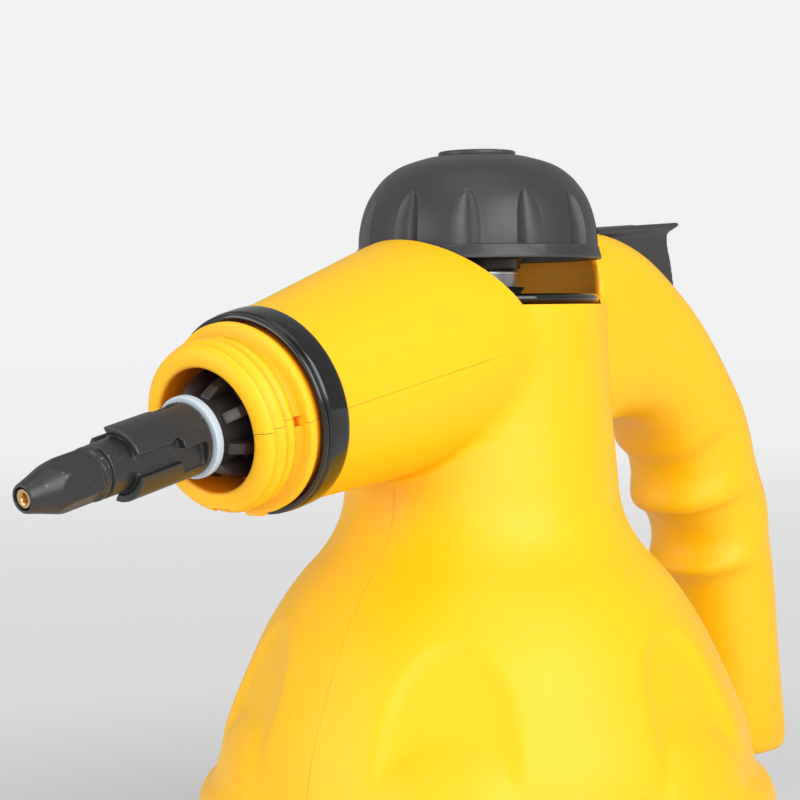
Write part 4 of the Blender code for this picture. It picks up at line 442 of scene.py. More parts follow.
def press_panels(bm):
    """Presses the six arched panels into the bell: flat across, with a soft step at the border."""
    for vert in bm.verts:
        radius = math.hypot(vert.co.x, vert.co.y)
        if vert.co.z > PANEL_TOP or radius < 40:
            continue
        angle = (math.atan2(vert.co.x, -vert.co.y) % (FULL / PANELS)) - FULL / (2 * PANELS)
        rise = max(0.0, (vert.co.z - PANEL_SPRING) / (PANEL_TOP - PANEL_SPRING))
        inside = 1 - math.hypot(angle / PANEL_HALF, rise)
        if inside <= 0:
            continue
        half = PANEL_HALF * math.sqrt(1 - rise ** 2)
        border = min(1.0, inside * PANEL_HALF * radius / PANEL_BORDER)
        deep = radius * (1 - math.cos(half) / math.cos(angle)) + PANEL_STEP * border ** 2 * (3 - 2 * border)
        vert.co.x *= 1 - deep / radius
        vert.co.y *= 1 - deep / radius


def grip_skin(inset, spans, around, lowest=None):
    """The bridge and grip as rounded sections; each finger's bed ends below in a crease that runs round."""
    rows = []
    for station, (oy, oz, iy, iz, wide, square) in enumerate(flowing(GRIP, spans)):
        outer = Vector((0, oy * GRIP_LENGTH, SHELF + oz * GRIP_DROP))
        inner = Vector((0, iy * GRIP_LENGTH, SHELF + iz * GRIP_DROP))
        below = [station / spans - crease for crease in CREASES if station / spans > crease]
        fall = max(0.0, 1 - below[-1] / CREASE_FALL) if below and not inset else 0.0
        if lowest is None or (outer.z + inner.z) / 2 > lowest:
            press = fall * CREASE_DEPTH
            rows.append(((outer + inner) / 2, (outer - inner) / 2, wide * GRIP_HALF, square, press))
    bm = bmesh.new()
    bmesh.ops.create_grid(bm, x_segments=around, y_segments=len(rows) - 1, size=0.5)
    for vert in bm.verts:
        column = round((vert.co.x + 0.5) * around) % around
        centre, across, half, square, press = rows[round((vert.co.y + 0.5) * (len(rows) - 1))]
        angle = FULL * column / around
        x = math.copysign(abs(math.cos(angle)) ** (2 / square), math.cos(angle))
        y = math.copysign(abs(math.sin(angle)) ** (2 / square), math.sin(angle))
        press *= max(0.0, 1 - ((y + 0.66) / 0.60) ** 2)
        sideways = Vector(((half - inset - press) * x, 0, 0))
        vert.co = centre + sideways + across.normalized() * (across.length - inset) * y
    bmesh.ops.remove_doubles(bm, verts=bm.verts, dist=0.001)
    bmesh.ops.holes_fill(bm, edges=[edge for edge in bm.edges if edge.is_boundary], sides=0)
    bmesh.ops.recalc_face_normals(bm, faces=bm.faces)
    return bm


def barrel_distance(point):
    """Place along the barrel's axis and distance from it."""
    along = Vector((0, -math.cos(BARREL_DROP), -math.sin(BARREL_DROP)))
    offset = point - Vector((0, 0, BARREL_HEIGHT))
    reach = offset.dot(along)
    return reach, (offset - along * reach).length


def in_side_corner(point):
    """The fillet that widens up each side, between the barrel and the neck."""
    reach, off = barrel_distance(point)
    near_barrel = 5 < reach < 60 and abs(off - 27.5) < 4
    near_neck = abs(math.hypot(point.x, point.y) - 33) < 9 and 145 < point.z < 174
    return near_barrel and near_neck


def in_soft_corner(point):
    """Where the grip's bridge leaves the neck, and the pocket's wall turns into the bridge's side."""
    plain = math.hypot(point.x, point.y)
    bridge = point.y > 20 and abs(plain - 33) < 7 and 118 < point.z < 176
    return bridge or (point.y > 5 and point.z > 177.6 and abs(plain - POCKET) < 4 and abs(point.x) > 9)


def inside_form():
    """What is hollow inside the housing, as one tool."""
    outline = [(0, -6), (60.0, -6)]
    outline += [(radius - (BELL_WALL if high < PANEL_TOP else WALL), high)
                for high, radius in BODY[::-1] if 3 < high < SHELF - 1]
    outline += [(BODY[0][1] - WALL, SHELF), (0, SHELF)]
    room = to_object("room", lathe(outline, 64))
    bore = [(0, -6), (BARREL[0][1] - WALL, -6)]
    bore += [(radius - WALL, along) for along, radius in BARREL[1:5]]
    bore += [(18.7, 72.5), (15.0, 72.5), (15.0, 74.5), (16.8, 74.5), (16.8, 84.0), (0, 84.0)]
    cut(room, on_barrel(lathe(bore, 64)), "UNION")
    cut(room, grip_skin(WALL, 2, 32, GRIP_END + 4.2), "UNION")
    cut(room, rod(POCKET + WALL, (0, 0, SHELF - 2.6), (0, 0, SHELF + BEYOND)))
    for y, z in SCREWS:
        cut(room, rod(4.2, (-36, y, z), (36, y, z), 24))
    return cut(room, rod(3.8, (-36, *PIVOT), (36, *PIVOT), 24))


def make_housing():
    """Both halves of the housing: melted from plain bodies, hollowed, bored, and parted along the seam."""
    profile = [(radius, high) for high, radius in flowing(BODY[::-1], 9)]
    bell = lathe([(0, BODY[-1][0])] + profile + [(0, BODY[0][0])], 240)
    press_panels(bell)
    profile = [(radius, along) for along, radius in flowing(BARREL, 9)]
    barrel = lathe([(0, -6.0), (BARREL[0][1], -6.0)] + profile + [(0, BARREL[-1][0])], 160)
    parts = [bell, on_barrel(barrel), grip_skin(0, 7, 72), lathe(FOOT_RING, 200)]
    for index in range(PANELS):
        lobe = bmesh.new()
        bmesh.ops.create_uvsphere(lobe, u_segments=48, v_segments=36, radius=1)
        for vert in lobe.verts:
            vert.co = [math.copysign(abs(c) ** 0.82, c) for c in vert.co]
        turn = Matrix.Rotation(FULL / PANELS * (index + 0.5), 4, "Z")
        place = turn @ Matrix.Translation((0, -52.0, 43.6))
        parts.append(placed(lobe, place @ Matrix.Diagonal((27.0, 17.0, 37.5, 1))))
    form = melt(poured(parts, "housing"), 1.1, 1)
    # Only the rear of the pocket is cut before the form is melted again, so that the bridge's corners flow
    wall = to_object("wall", rod(POCKET, (0, 0, SHELF + 0.8), (0, 0, SHELF + BEYOND), 160))
    cut(form, cut(wall, box((-BEYOND, -BEYOND, SHELF - 9), (BEYOND, 4, SHELF + BEYOND + 10))))
    melt(form, 1.0, 2)
    ease(form, 14, in_side_corner)
    ease(form, 12, in_soft_corner)
    cut(form, rod(POCKET, (0, 0, SHELF), (0, 0, SHELF + BEYOND), 360))
    cut(form, box((-160, -160, -20), (160, 160, BODY_LOW)))
    cut(form, on_barrel(lathe([(0, MOUTH), (BEYOND, MOUTH), (BEYOND, 120), (0, 120)], 48)))
    spigot = [(0, MOUTH - 2), (19.2, MOUTH - 2), (19.2, MOUTH + 3.6), (0, MOUTH + 3.6)]
    cut(form, on_barrel(lathe(spigot, 96)), "UNION")
    cut(form, inside_form())
    cut(form, rod(9.7, (0, 0, SHELF - 7), (0, 0, SHELF + 4), 64))
    cut(form, box((-8.6, 40.2, SHELF - 8), (8.6, 81.2, SHELF + 40)))
    cut(form, rod(SHANK_BORE, (-12.8, *PIVOT), (12.8, *PIVOT), 24))
    for y, z in SCREWS:
        cut(form, rod(HEAD_BORE, (-70, y, z), (-8, y, z), 32))
        cut(form, rod(SHANK_BORE, (-70, y, z), (7.3, y, z), 16))
    cut(form, rod(6.7, (0, INLET, GRIP_END - 4), (0, INLET, GRIP_END + 1.9), 48))
    cut(form, rod(5.3, (0, INLET, GRIP_END - 4), (0, INLET, GRIP_END + 11), 48))
    # The parting line along each side of the barrel is a hair-fine groove
    line = [(radius - 0.16, along) for along, radius in flowing(BARREL[2:7], 4)]
    for side in (-1, 1):
        rim = [(side * radius, 0.06, along) for radius, along in line]
        rim += [(side * 40, 0.06, along) for _, along in reversed(line)]
        cut(form, on_barrel(drawn_out(rim, (0, -0.12, 0))))
    for node, side in (("housing_right", 1), ("housing_left", -1)):
        half = bpy.data.objects.new(node + "_skin", form.data.copy())
        bpy.context.scene.collection.objects.link(half)
        low, high = sorted((side * 0.008, -side * 200))
        cut(half, box((low, -200, -50), (high, 200, 300)))
        if side > 0:
            cut(half, seam_bead(), "UNION")
        seat(shaded(half, m["housing"]), "housing", "housing", node)
    bpy.data.objects.remove(form, do_unlink=True)


def seam_bead():
    """The hair of flash that stands up along the seam, down the front of neck and bell."""
    line = [(-(radius + 0.12), high) for high, radius in flowing(BODY[1:14], 6) if 3.5 < high < 136]
    back = [(y + 0.6, z) for y, z in reversed(line)]
    return drawn_out([(0.03, y, z) for y, z in line + back], (0.26, 0, 0))


# Collar, band, socket and nozzle

def make_collar():
    """The threaded collar: two halves whose rounded ridges meet with a stepped joint."""
    outline = [(19.2, 80.1), (19.2, 82.1), (20.4, 82.5), (20.4, 85.1), (20.9, 85.1), (21.2, 85.4),
               (21.25, 86.5), (21.1, 86.9), (20.6, 87.15), (19.2, 87.4), (18.4, 87.8), (18.0, 88.4),
               (18.05, 89.0), (18.5, 89.25), (18.85, 89.7), (18.9, 90.3), (18.75, 90.9), (18.35, 91.4),
               (18.15, 91.7), (18.6, 91.95), (19.0, 92.3), (19.15, 92.9), (19.0, 93.6), (18.55, 94.3),
               (18.1, 94.7), (18.0, 94.95), (18.35, 95.15), (18.4, 95.5), (18.2, 95.95), (17.7, 96.45),
               (16.9, 96.85), (15.8, 97.08), (14.6, 97.1), (14.0, 96.95), (13.7, 96.6), (13.6, 96.1),
               (13.6, 80.1)]
    for node, side in (("collar_upper", 1), ("collar_lower", -1)):
        half = to_object(node + "_ring", lathe(outline, 216))
        joint = [(78, -0.3), (87.3, -0.3), (87.3, 1.2), (91.7, 1.2), (91.7, 0.3), (94.9, 0.3), (94.9, -0.3),
                 (100, -0.3)]
        edge = [(-40, y + side * 0.06, along) for along, y in joint]
        rim = edge + [(-40, side * 40, 100), (-40, side * 40, 78)]
        cut(half, drawn_out(rim, (80, 0, 0)), "INTERSECT")
        if side < 0:
            # A notch in the nose, the key inside, the tab below, and the gap beside the joint
            cut(half, box((-2.5, -26, 94.5), (2.5, -17.2, 101)))
            cut(half, box((-1.9, -14.2, 80.5), (2.6, -11.9, 86.5)), "UNION")
            cut(half, box((-2.4, -21.75, 85.1), (2.4, -18.5, 87.0)), "UNION")
            cut(half, box((17.3, -0.9, 87.6), (24, 2.5, 89.4)))
        bm = bmesh.new()
        bm.from_mesh(half.data)
        half.data.clear_geometry()
        on_barrel(placed(bm, Matrix.Scale(1 / MM, 4)))
        placed(bm, Matrix.Scale(MM, 4))
        bm.to_mesh(half.data)
        bm.free()
        seat(shaded(half, m["housing"], 38), "housing", "housing", node)


def make_band():
    """The polished band round the collar's root, with a thin lip in front of its broad face."""
    outline = [(19.5, 76.3), (22.3, 76.3), (22.6, 76.45), (22.75, 76.8), (22.78, 77.4), (22.7, 81.7),
               (22.55, 82.2), (22.3, 82.4), (22.1, 82.5), (22.2, 82.7), (22.4, 82.9), (22.48, 83.3),
               (22.4, 83.7), (22.1, 83.95), (21.6, 84.0), (20.9, 83.9), (20.6, 83.4), (20.6, 82.4),
               (19.5, 82.0)]
    seat(to_object("barrel_band_ring", on_barrel(lathe(outline, 216)), m["gloss"], 50), "housing",
         "gloss_black", "barrel_band")


def make_socket():
    """The splined socket: a flange in the barrel's mouth and eight tapered ribs on its core."""
    ribs = 8
    core = [(5.6, 74.8), (16.5, 74.8), (16.5, 79.6), (9.2, 79.6), (8.8, 91.5), (5.6, 91.5)]
    socket = to_object("nozzle_socket_splined", lathe(rounded(core, 0.5), 128))
    fin = [(7.7, 79.0), (12.7, 79.0), (12.7, 89.0), (12.0, 92.5), (10.6, 96.0), (8.7, 98.6), (7.7, 98.9)]
    for index in range(ribs):
        rib = drawn_out([(radius, 1.3, along) for radius, along in fin], (0, -2.6, 0))
        bmesh.ops.bevel(rib, geom=list(rib.edges), affect="EDGES", offset=0.35, segments=2, profile=0.5,
                        material=-1)
        cut(socket, placed(rib, Matrix.Rotation(FULL * (index + 0.5) / ribs, 4, "Z")), "UNION")
    finish_on_barrel(socket, m["phenolic"], "phenolic", "nozzle_socket")


def finish_on_barrel(piece, finish, slot, node):
    """Moves a piece that was shaped about Z to the barrel's axis and seats it."""
    turn = Matrix.Rotation(math.pi / 2 + BARREL_DROP, 4, "X")
    piece.data.transform(Matrix.Translation((0, 0, BARREL_HEIGHT * MM)) @ turn)
    seat(shaded(piece, finish), "housing", slot, node)


def make_nozzle():
    """The nozzle: bayonet sleeve with three stepped slots, waist, six-sided cone, its ring and its jet."""
    sleeve = rounded([(5.0, 78.0), (5.0, 91.8), (8.0, 91.8), (8.0, 100.3), (6.6, 100.3), (6.6, 102.9),
                      (8.0, 102.9), (8.0, 123.2), (6.6, 123.2), (5.75, 122.0), (5.7, 131.0)], 0.3)
    body = to_object("nozzle_body_moulded", lathe([(0, 78.0)] + sleeve + [(0, 131.0)], 128))
    cone = [(0, 127.0), (5.2, 127.0), (5.1, 129.4), (5.7, 129.9), (5.75, 130.4), (5.75, 138.4), (5.3, 140.2),
            (3.95, 144.4), (3.2, 147.0), (3.0, 147.6), (2.7, 147.8), (0, 147.8)]
    nose = to_object("nose", lathe(cone, 128))
    cut(nose, rod(5.0 / math.cos(math.pi / 6), (0, 0, 120), (0, 0, 160), 6), "INTERSECT")
    cut(body, nose, "UNION")
    cut(body, lathe([(5.0, 128.7), (8.0, 128.7), (8.0, 129.5), (5.0, 129.5)], 64))
    main = [(-2.2, 125), (2.5, 125), (2.5, 113.4), (2.9, 112.9), (2.9, 111.6), (2.2, 110.9), (0.4, 110.6),
            (0.3, 104.8), (-0.2, 104.2), (-4.2, 104.2), (-4.7, 104.8), (-4.7, 110.2), (-4.3, 110.8),
            (-2.2, 111.4)]
    side = [(-6.4, 112.6), (-3.6, 112.6), (-3.6, 117.0), (-6.4, 117.0)]
    for index in range(3):
        turn = Matrix.Rotation(FULL * index / 3 - math.radians(2), 4, "Z")
        for outline, floor in ((main, 5.9), (side, 7.0)):
            cut(body, placed(drawn_out([(floor, y, along) for y, along in outline], (9, 0, 0)), turn))
    cut(body, lathe([(0, 70), (1.6, 70), (1.6, 141.5), (2.4, 141.5), (2.4, 160), (0, 160)], 64))
    melt(body, 0.24, 1)
    finish_on_barrel(body, m["nylon"], "nylon", "nozzle_body")
    ring = rounded([(6.9, 100.6), (9.0, 100.6), (9.0, 102.6), (6.9, 102.6)], 0.45)
    seat(to_object("nozzle_ring_soft", on_barrel(lathe(ring, 160)), m["silicone"], 60), "housing",
         "pale_silicone", "nozzle_o_ring")
    jet = [(0.8, 141.8), (2.1, 141.8), (2.1, 147.0), (1.9, 147.4), (1.35, 147.4), (1.1, 147.25),
           (0.8, 146.7)]
    seat(to_object("nozzle_jet_turned", on_barrel(lathe(jet, 96)), m["brass"], 30), "housing", "brass",
         "nozzle_jet")


# Cap, plug and filler neck

CAP_LIP = 190.3               # height where the dome starts over the lip
# The dome, as (radius, height)
DOME = [(29.5, 190.4), (29.3, 193.98), (28.44, 198.12), (27.06, 201.8), (25.05, 205.02), (22.56, 207.78),
        (18.75, 210.31), (13.05, 212.15), (9.9, 212.72)]
SCALLOPS = 12
SCALLOP_HALF = math.radians(6.7)
SCALLOP_TURN = math.radians(2.5)     # how far round the first one sits
SCALLOP_TALL, SCALLOP_DEEP = 12.8, 1.7


def press_scallops(bm):
    """Gathers the cap's columns round each finger scallop, so that its pointed arch has a crisp edge."""
    line, pitch = flowing(DOME, 6), FULL / SCALLOPS
    for vert in bm.verts:
        radius, tall = math.hypot(vert.co.x, vert.co.y), (vert.co.z - CAP_LIP) / SCALLOP_TALL
        wall = next((r for r, high in line if high >= vert.co.z), 0)
        if tall > 1.6 or radius < wall - 1.4:
            continue
        heading = math.atan2(vert.co.x, -vert.co.y) - SCALLOP_TURN
        middle = round(heading / pitch) * pitch
        share = (heading - middle) / (pitch / 2)
        if tall < 0:
            half = SCALLOP_HALF
        elif tall < 1:
            half = SCALLOP_HALF * max(0.04, (1 - tall ** 3) ** 0.5)
        else:
            half = SCALLOP_HALF * min(1.0, 0.04 + (tall - 1) / 0.6)
        part = abs(share) / 0.5
        turn = half * part if part <= 1 else half + (pitch / 2 - half) * (part - 1)
        if 0 < tall < 1 and part < 1:
            radius -= SCALLOP_DEEP * (1 - part ** 2) * (1 - tall ** 4) ** 0.6
        elif tall <= 0 and part < 1:
            radius -= 0.35 * (1 - part ** 2) * max(0.0, 1 + (vert.co.z - CAP_LIP) / 2.2)
        heading = SCALLOP_TURN + middle + math.copysign(turn, share)
        vert.co.x, vert.co.y = radius * math.sin(heading), -radius * math.cos(heading)


def make_cap():
    """The safety cap: a dome with twelve scallops over a flared lip, its hub inside, and the disc on top."""
    outside = [(29.0, 187.0), (30.0, 187.0), (30.24, 187.12), (30.3, 187.4), (30.2, 188.1), (30.0, 188.9),
               (29.88, 189.6), (29.84, 190.1), (29.72, 190.28)] + flowing(DOME, 6)
    hub = [(9.8, 212.6), (9.8, 212.0), (6.2, 212.0), (6.2, 205.2), (3.0, 205.2), (3.0, 202.2), (8.5, 202.2),
           (8.5, 208.5)]
    inside = [(15.0, 208.9), (20.16, 205.96), (22.65, 203.48), (24.66, 200.6), (26.04, 197.3), (26.9, 193.6),
              (27.3, 190.4), (27.6, 187.3)]
    shell = lathe(outside + hub + inside, SCALLOPS * 24)
    press_scallops(shell)
    seat(to_object("cap_shell_domed", shell, m["cap"], 24), "cap", "cap", "cap_shell")
    disc = [(0, 212.3), (9.2, 212.3), (9.5, 212.6), (9.5, 213.4), (9.42, 213.7), (9.2, 213.86), (8.9, 213.9),
            (8.55, 213.88), (8.3, 213.7), (8.15, 213.45), (7.9, 213.4), (0, 213.45)]
    seat(to_object("cap_disc_rimmed", lathe(disc, 128), m["cap"], 50), "cap", "cap", "cap_disc")


def make_neck():
    """Under the cap: the bronze-grey plug, the plated neck, its gasket and the dished plate."""
    plug = [(2.2, 165.5), (6.3, 165.5), (6.6, 165.9), (6.6, 186.5), (9.72, 186.5), (9.72, 185.0),
            (9.9, 184.85), (10.2, 184.9), (10.35, 185.3), (10.4, 187.0), (10.7, 187.5), (11.8, 187.7),
            (12.2, 188.0), (12.2, 188.5), (11.9, 188.8), (9.0, 188.8), (9.0, 198.2), (8.7, 198.5),
            (3.0, 198.5), (3.0, 190.2), (1.4, 190.2), (1.4, 183.3), (4.0, 183.3), (4.0, 167.3), (2.2, 167.3)]
    seat(to_object("cap_plug_flanged", lathe(plug, 128), m["plug"], 40), "plug", "phenolic", "cap_plug")
    neck = [(7.2, 150.0), (9.4, 150.0), (9.4, 170.5), (12.8, 170.5), (12.8, 173.1), (9.4, 173.1),
            (9.4, 183.3), (9.55, 183.6), (9.6, 184.0), (9.5, 184.4), (9.25, 184.6), (7.6, 184.6),
            (7.3, 184.45), (7.2, 184.1)]
    seat(to_object("filler_neck_plated", lathe(neck, 128), m["plated"], 40), "housing", "plated",
         "filler_neck")
    gasket = [(9.7, 177.9), (12.0, 177.9), (12.2, 178.0), (11.2, 178.35), (10.6, 178.8), (10.45, 179.2),
              (10.6, 179.6), (11.1, 180.0), (11.2, 180.25), (11.0, 180.5), (9.7, 180.5)]
    seat(to_object("neck_gasket_flared", lathe(gasket, 128), m["rubber"], 60), "housing", "rubber",
         "neck_gasket")
    plate = [(9.7, 176.3), (28.4, 176.3), (29.1, 176.5), (29.45, 177.0), (29.5, 177.6), (29.3, 178.1),
             (28.9, 178.45), (28.2, 178.6), (27.4, 178.5), (26.8, 178.2), (26.1, 177.6), (24.8, 177.25),
             (20.0, 177.15), (14.0, 177.3), (12.6, 177.55), (9.7, 177.6)]
    seat(to_object("shelf_plate_dished", lathe(plate, 192), m["gloss"], 60), "housing", "gloss_black",
         "shelf_plate")


# Trigger, base, bush and screws

PILLAR_RING = 49.0            # how far out the base cover's pillars stand
PILLAR_TURNS = [FULL * (index + 0.25) / 3 for index in range(3)]
PILLARS = [(PILLAR_RING * math.cos(turn), PILLAR_RING * math.sin(turn)) for turn in PILLAR_TURNS]


def make_trigger():
    """The thumb lever: a dished plate with a flared rim over a narrower skirt, on its pivot."""
    front, length = 41.0, 39.2
    top, lip = 195.5, 198.3       # heights of the plate in front and of its rim behind
    drop = 25.0                   # how far the lever's back reaches down
    saddle = 3.6                  # radius of the rounding round the pin
    crown = [(0.00, 0.10), (0.30, 0.42), (0.62, 0.70), (0.85, 0.90), (0.97, 1.00)]
    over = flowing([(front + along * length, top + up * (lip - top)) for along, up in crown], 6)
    skirt = [(1.00, 0.03), (0.955, 0.055), (0.905, 0.10), (0.885, 0.16), (0.895, 0.28), (0.94, 0.50),
             (1.00, 1.00)]
    back = flowing([(front + along * length, lip - down * drop) for along, down in skirt], 6)
    turns = [math.radians(angle) for angle in range(-60, -161, -17)]
    cheek = [(PIVOT[0] + saddle * math.cos(turn), PIVOT[1] + saddle * math.sin(turn)) for turn in turns]
    line = over + back + [(front + length - 2.0, lip - drop), (60, 180.5)] + cheek + [(front, 188.8)]
    lever = to_object("trigger_lever_dished", drawn_out([(-8.0, y, z) for y, z in line], (16.0, 0, 0)))
    hollow = [(49.5, 170), (49.5, 191.5), (70, 192.5), (72, 188), (75.5, 170)]
    cut(lever, drawn_out([(-4.9, y, z) for y, z in hollow], (9.8, 0, 0)))
    melt(lever, 0.42, 1)
    for vert in lever.data.vertices:
        x, y, z = vert.co / MM
        crest = top + (lip - top) * max(0.0, min(1.0, (y - front) / length)) ** 0.75
        below = max(0.0, min(1.0, (crest - 1.5 - z) / 1.3))
        if abs(x) > 5.5:
            vert.co.x *= 1 - 0.17 * below
        if crest - z < 1.2 and z > 193:
            vert.co.z -= 0.5 * MM * max(0.0, 1 - (x / 7.0) ** 2) * min(1.0, (y - front) / 8)
    ease(lever, 2)
    cut(lever, rod(SHANK_BORE, (-12, *PIVOT), (12, *PIVOT)))
    seat(shaded(lever, m["cap"], 40), "trigger", "cap", "trigger_lever")


def crossed_screw(length):
    """A countersunk screw about Z, its head at the bottom with a crossed recess."""
    outline = [(0, 0.10), (1.6, 0.04), (2.6, 0.0), (2.85, 0.06), (3.0, 0.3), (3.0, 1.9), (2.8, 2.2),
               (1.5, 2.2), (1.5, length - 0.5), (1.2, length), (0, length)]
    screw = to_object("screw", lathe(outline, 48))
    for turn in (0, math.pi / 2):
        cut(screw, placed(box((-1.7, -0.32, -1), (1.7, 0.32, 1.3)), Matrix.Rotation(turn, 4, "Z")))
    return screw


def make_screws():
    """The screws that show: four through the left half of the housing, three up into the base cover."""
    places = {}
    sideways = Matrix.Rotation(math.pi / 2, 4, "Y")
    for index, (y, z) in enumerate(SCREWS, 1):
        places[f"housing_screw_{index}"] = (15, Matrix.Translation((-10.5, y, z)) @ sideways)
    for index, (x, y) in enumerate(PILLARS, 1):
        places[f"base_screw_{index}"] = (16, Matrix.Translation((x, y, 1.0)))
    for node, (length, place) in places.items():
        screw = crossed_screw(length)
        place.translation *= MM
        screw.data.transform(place)
        screw.name = node + "_crossed"
        seat(shaded(screw, m["steel"], 30), "housing", "screws", node)


def make_base():
    """The cover that closes the body below, with a standing ring, a locating rim and its three pillars."""
    outline = [(0, 0.9), (52.0, 0.9), (53.0, 0.0), (64.6, 0.0), (65.6, 0.4), (66.0, 1.2), (66.0, 3.0),
               (59.0, 3.0), (59.0, 9.6), (58.6, 10.0), (57.2, 10.0), (56.8, 9.6), (56.8, 3.0), (0, 3.0)]
    cover = to_object("base_cover_plate", lathe(outline, 192))
    for x, y in PILLARS:
        cut(cover, rod(4.5, (x, y, 2.0), (x, y, 61.7), 32), "UNION")
        cut(cover, rod(HEAD_BORE, (x, y, -4), (x, y, 3.5), 32))
        cut(cover, rod(SHANK_BORE, (x, y, -4), (x, y, 17.3), 20))
        cut(cover, rod(SHANK_BORE, (x, y, 44.0), (x, y, 66), 20))
    seat(shaded(cover, m["cover"]), "housing", "cover", "base_cover")


def make_bush():
    """The rubber bush in the grip's end."""
    outline = rounded([(3.6, 0), (6.4, 0), (6.4, 1.6), (5.0, 1.6), (5.0, 8.6), (3.6, 8.6)], 0.4)
    bush = placed(lathe(outline, 96), Matrix.Translation((0, INLET, GRIP_END)))
    seat(to_object("cord_inlet_bush", bush, m["rubber"], 50), "housing", "rubber", "cord_inlet")


# Dressing the frame

m = finishes()

# The finish of every solid; those that stay visible, mostly inside, keep their own mesh
CARRIED = {
    "cap": ["trigger_lever", "cap_disc", "cap_shell"],
    "cover": ["base_cover"],
    "housing": ["housing_left", "housing_right", "collar_upper", "collar_lower"],
    "gloss": ["barrel_band", "shelf_plate"],
    "nylon": ["nozzle_body", "thermostat"],
    "phenolic": ["nozzle_socket"],
    "plug": ["cap_plug"],
    "rubber": ["neck_gasket", "cap_seal", "boiler_gasket", "cord_inlet"],
    "silicone": ["nozzle_o_ring"],
    "white": ["steam_hose_in", "steam_hose_out", "terminal_block"],
    "brass": ["nozzle_jet", "valve_body", "relief_poppet"],
    "plated": ["filler_neck", "thermal_fuse"],
    "cast": ["boiler_upper", "boiler_lower"],
    "steel": ["heating_element", "trigger_pin", "valve_plunger", "cap_retainer"]
    + [kind + "_spring" for kind in ("cap", "relief", "valve")]
    + [f"{kind}_screw_{i}" for kind, count in (("housing", 4), ("base", 3), ("boiler", 3))
       for i in range(1, count + 1)],
}
for finish, names in CARRIED.items():
    for name in names:
        mesh = nodes[name].data
        mesh.materials.clear()
        mesh.materials.append(m[finish])

make_housing()
make_collar()
make_band()
make_socket()
make_nozzle()
make_cap()
make_neck()
make_trigger()
make_screws()
make_base()
make_bush()


# Stage, light and camera

def make_stage():
    """A pale floor that keeps the shadow round the object and fades into the white room further out."""
    made, tree, where = started("pale studio floor")
    skin = tree.nodes["Principled BSDF"]
    skin.inputs["Base Color"].default_value = linear("E3E3E5")
    skin.inputs["Roughness"].default_value = 0.9
    reach = add(tree, "ShaderNodeVectorMath", {"operation": "LENGTH"}, {0: where})
    far = add(tree, "ShaderNodeMapRange",
              {"interpolation_type": "SMOOTHSTEP", "From Min": 0.20, "From Max": 0.50},
              {"Value": reach.outputs["Value"]})
    path = add(tree, "ShaderNodeLightPath")
    seen = add(tree, "ShaderNodeMath", {"operation": "MAXIMUM"},
               {0: path.outputs["Is Camera Ray"], 1: path.outputs["Is Glossy Ray"]})
    through = add(tree, "ShaderNodeMath", {"operation": "MAXIMUM"},
                  {0: seen, 1: path.outputs["Is Transmission Ray"]})
    share = add(tree, "ShaderNodeMath", {"operation": "MULTIPLY"}, {0: far, 1: through})
    fade = add(tree, "ShaderNodeMapRange",
               {"interpolation_type": "SMOOTHERSTEP", "From Min": 0.2, "From Max": 2.8},
               {"Value": reach.outputs["Value"]})
    pale = add(tree, "ShaderNodeMix", {"data_type": "RGBA", FIRST: linear("DADADB"),
                                       SECOND: linear("F0F0F1")}, {0: fade})
    room = add(tree, "ShaderNodeEmission", {"Strength": 1.0}, {"Color": pale.outputs[MIXED]})
    mixed = add(tree, "ShaderNodeMixShader", {}, {0: share, 1: skin.outputs[0], 2: room})
    tree.links.new(mixed.outputs[0], tree.nodes["Material Output"].inputs["Surface"])
    bm = bmesh.new()
    bmesh.ops.create_grid(bm, x_segments=2, y_segments=2, size=6000)
    to_object("floor", bm, made)


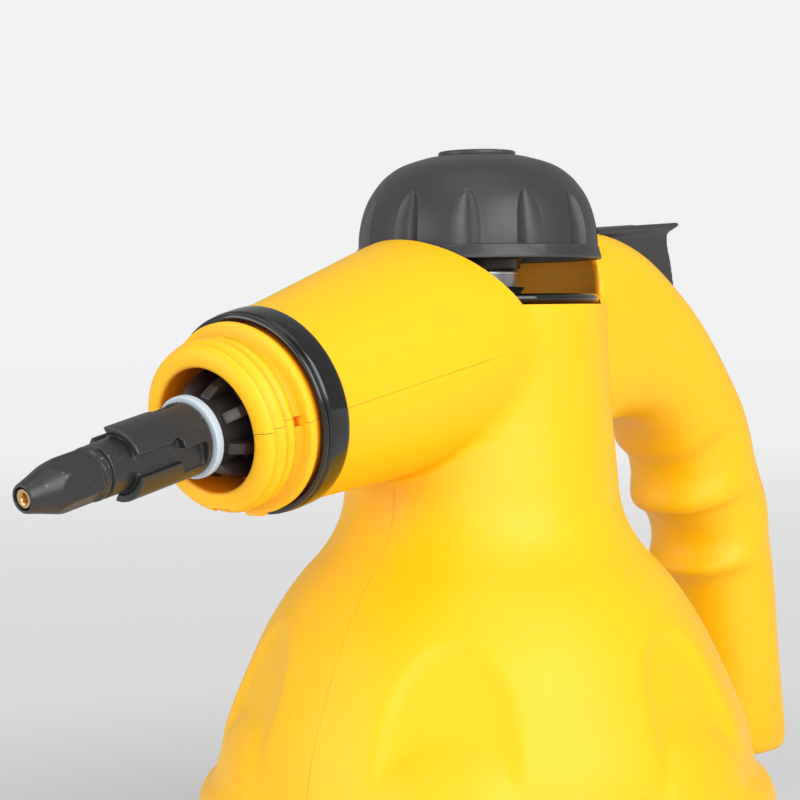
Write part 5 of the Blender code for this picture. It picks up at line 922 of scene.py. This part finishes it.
def make_room():
    """White room: pale to the camera, and softer as light on the object."""
    made = bpy.data.worlds.new("studio")
    bpy.context.scene.world = made
    made.use_nodes = True
    tree = made.node_tree
    tree.nodes.clear()
    path = add(tree, "ShaderNodeLightPath")
    seen = add(tree, "ShaderNodeMath", {"operation": "MAXIMUM"},
               {0: path.outputs["Is Camera Ray"], 1: path.outputs["Is Transmission Ray"]})
    sphere = add(tree, "ShaderNodeTexCoord").outputs["Generated"]
    tall = add(tree, "ShaderNodeSeparateXYZ", {}, {0: sphere})
    rise = add(tree, "ShaderNodeMapRange", {"From Max": 0.16}, {"Value": tall.outputs["Z"]})
    tint = add(tree, "ShaderNodeMix", {"data_type": "RGBA", FIRST: linear("F1F1F2"),
                                       SECOND: linear("F2F2F2")}, {0: rise})
    light = add(tree, "ShaderNodeBackground", {"Color": (1, 1, 1, 1), "Strength": 0.44})
    shown = add(tree, "ShaderNodeBackground", {"Strength": 1.0}, {"Color": tint.outputs[MIXED]})
    mixed = add(tree, "ShaderNodeMixShader", {}, {0: seen, 1: light, 2: shown})
    add(tree, "ShaderNodeOutputWorld", {}, {"Surface": mixed})


# Each soft box in metres and watts: its size, its place and its power
LAMPS = {
    "key": (1.0, (1.08, -0.35, 0.66), 13),
    "front": (0.7, (0.75, -1.0, 0.22), 3.5),
    "left": (0.9, (-0.55, -1.15, 0.35), 6),
    "top": (0.9, (0.2, -0.3, 1.3), 2),
}
AIM = Vector((0, 0, 0.12))    # where the soft boxes point, in metres

# The photograph's camera: frame, focal length and shift of the centre in pixels, film width in mm
FRAME, FOCAL = 800, 2022
SHIFT_RIGHT, SHIFT_DOWN = 80.3, 81
FILM = 36.0
CAMERA_TURN = math.radians(37.8)     # round from the nozzle
CAMERA_ROLL = math.radians(-0.9)
CAMERA_AWAY, CAMERA_HEIGHT = 0.5, 0.1731     # metres


def soft_box(name, size, place, power):
    """A square soft box that faces the object."""
    data = bpy.data.lights.new(name, "AREA")
    data.shape, data.size, data.energy = "SQUARE", size, power
    made = bpy.data.objects.new(name, data)
    made.location = place
    made.rotation_euler = (AIM - Vector(place)).to_track_quat("-Z", "Y").to_euler()
    bpy.context.scene.collection.objects.link(made)


def make_camera():
    """The photograph's view, level with the barrel."""
    data = bpy.data.cameras.new("camera")
    data.sensor_width = FILM
    data.lens = FOCAL / FRAME * FILM
    data.clip_start = 0.01
    made = bpy.data.objects.new("camera", data)
    away = (CAMERA_AWAY * math.sin(CAMERA_TURN), -CAMERA_AWAY * math.cos(CAMERA_TURN), CAMERA_HEIGHT)
    heading = Matrix.Rotation(CAMERA_TURN + math.atan(SHIFT_RIGHT / FOCAL), 4, "Z")
    tilt = Matrix.Rotation(math.pi / 2 - math.atan(SHIFT_DOWN / FOCAL), 4, "X")
    made.matrix_world = Matrix.Translation(away) @ heading @ tilt @ Matrix.Rotation(CAMERA_ROLL, 4, "Z")
    bpy.context.scene.collection.objects.link(made)
    bpy.context.scene.camera = made


make_stage()
make_room()
for lamp, (size, place, power) in LAMPS.items():
    soft_box(lamp, size, place, power)
make_camera()
bpy.context.scene.view_settings.view_transform = "Standard"
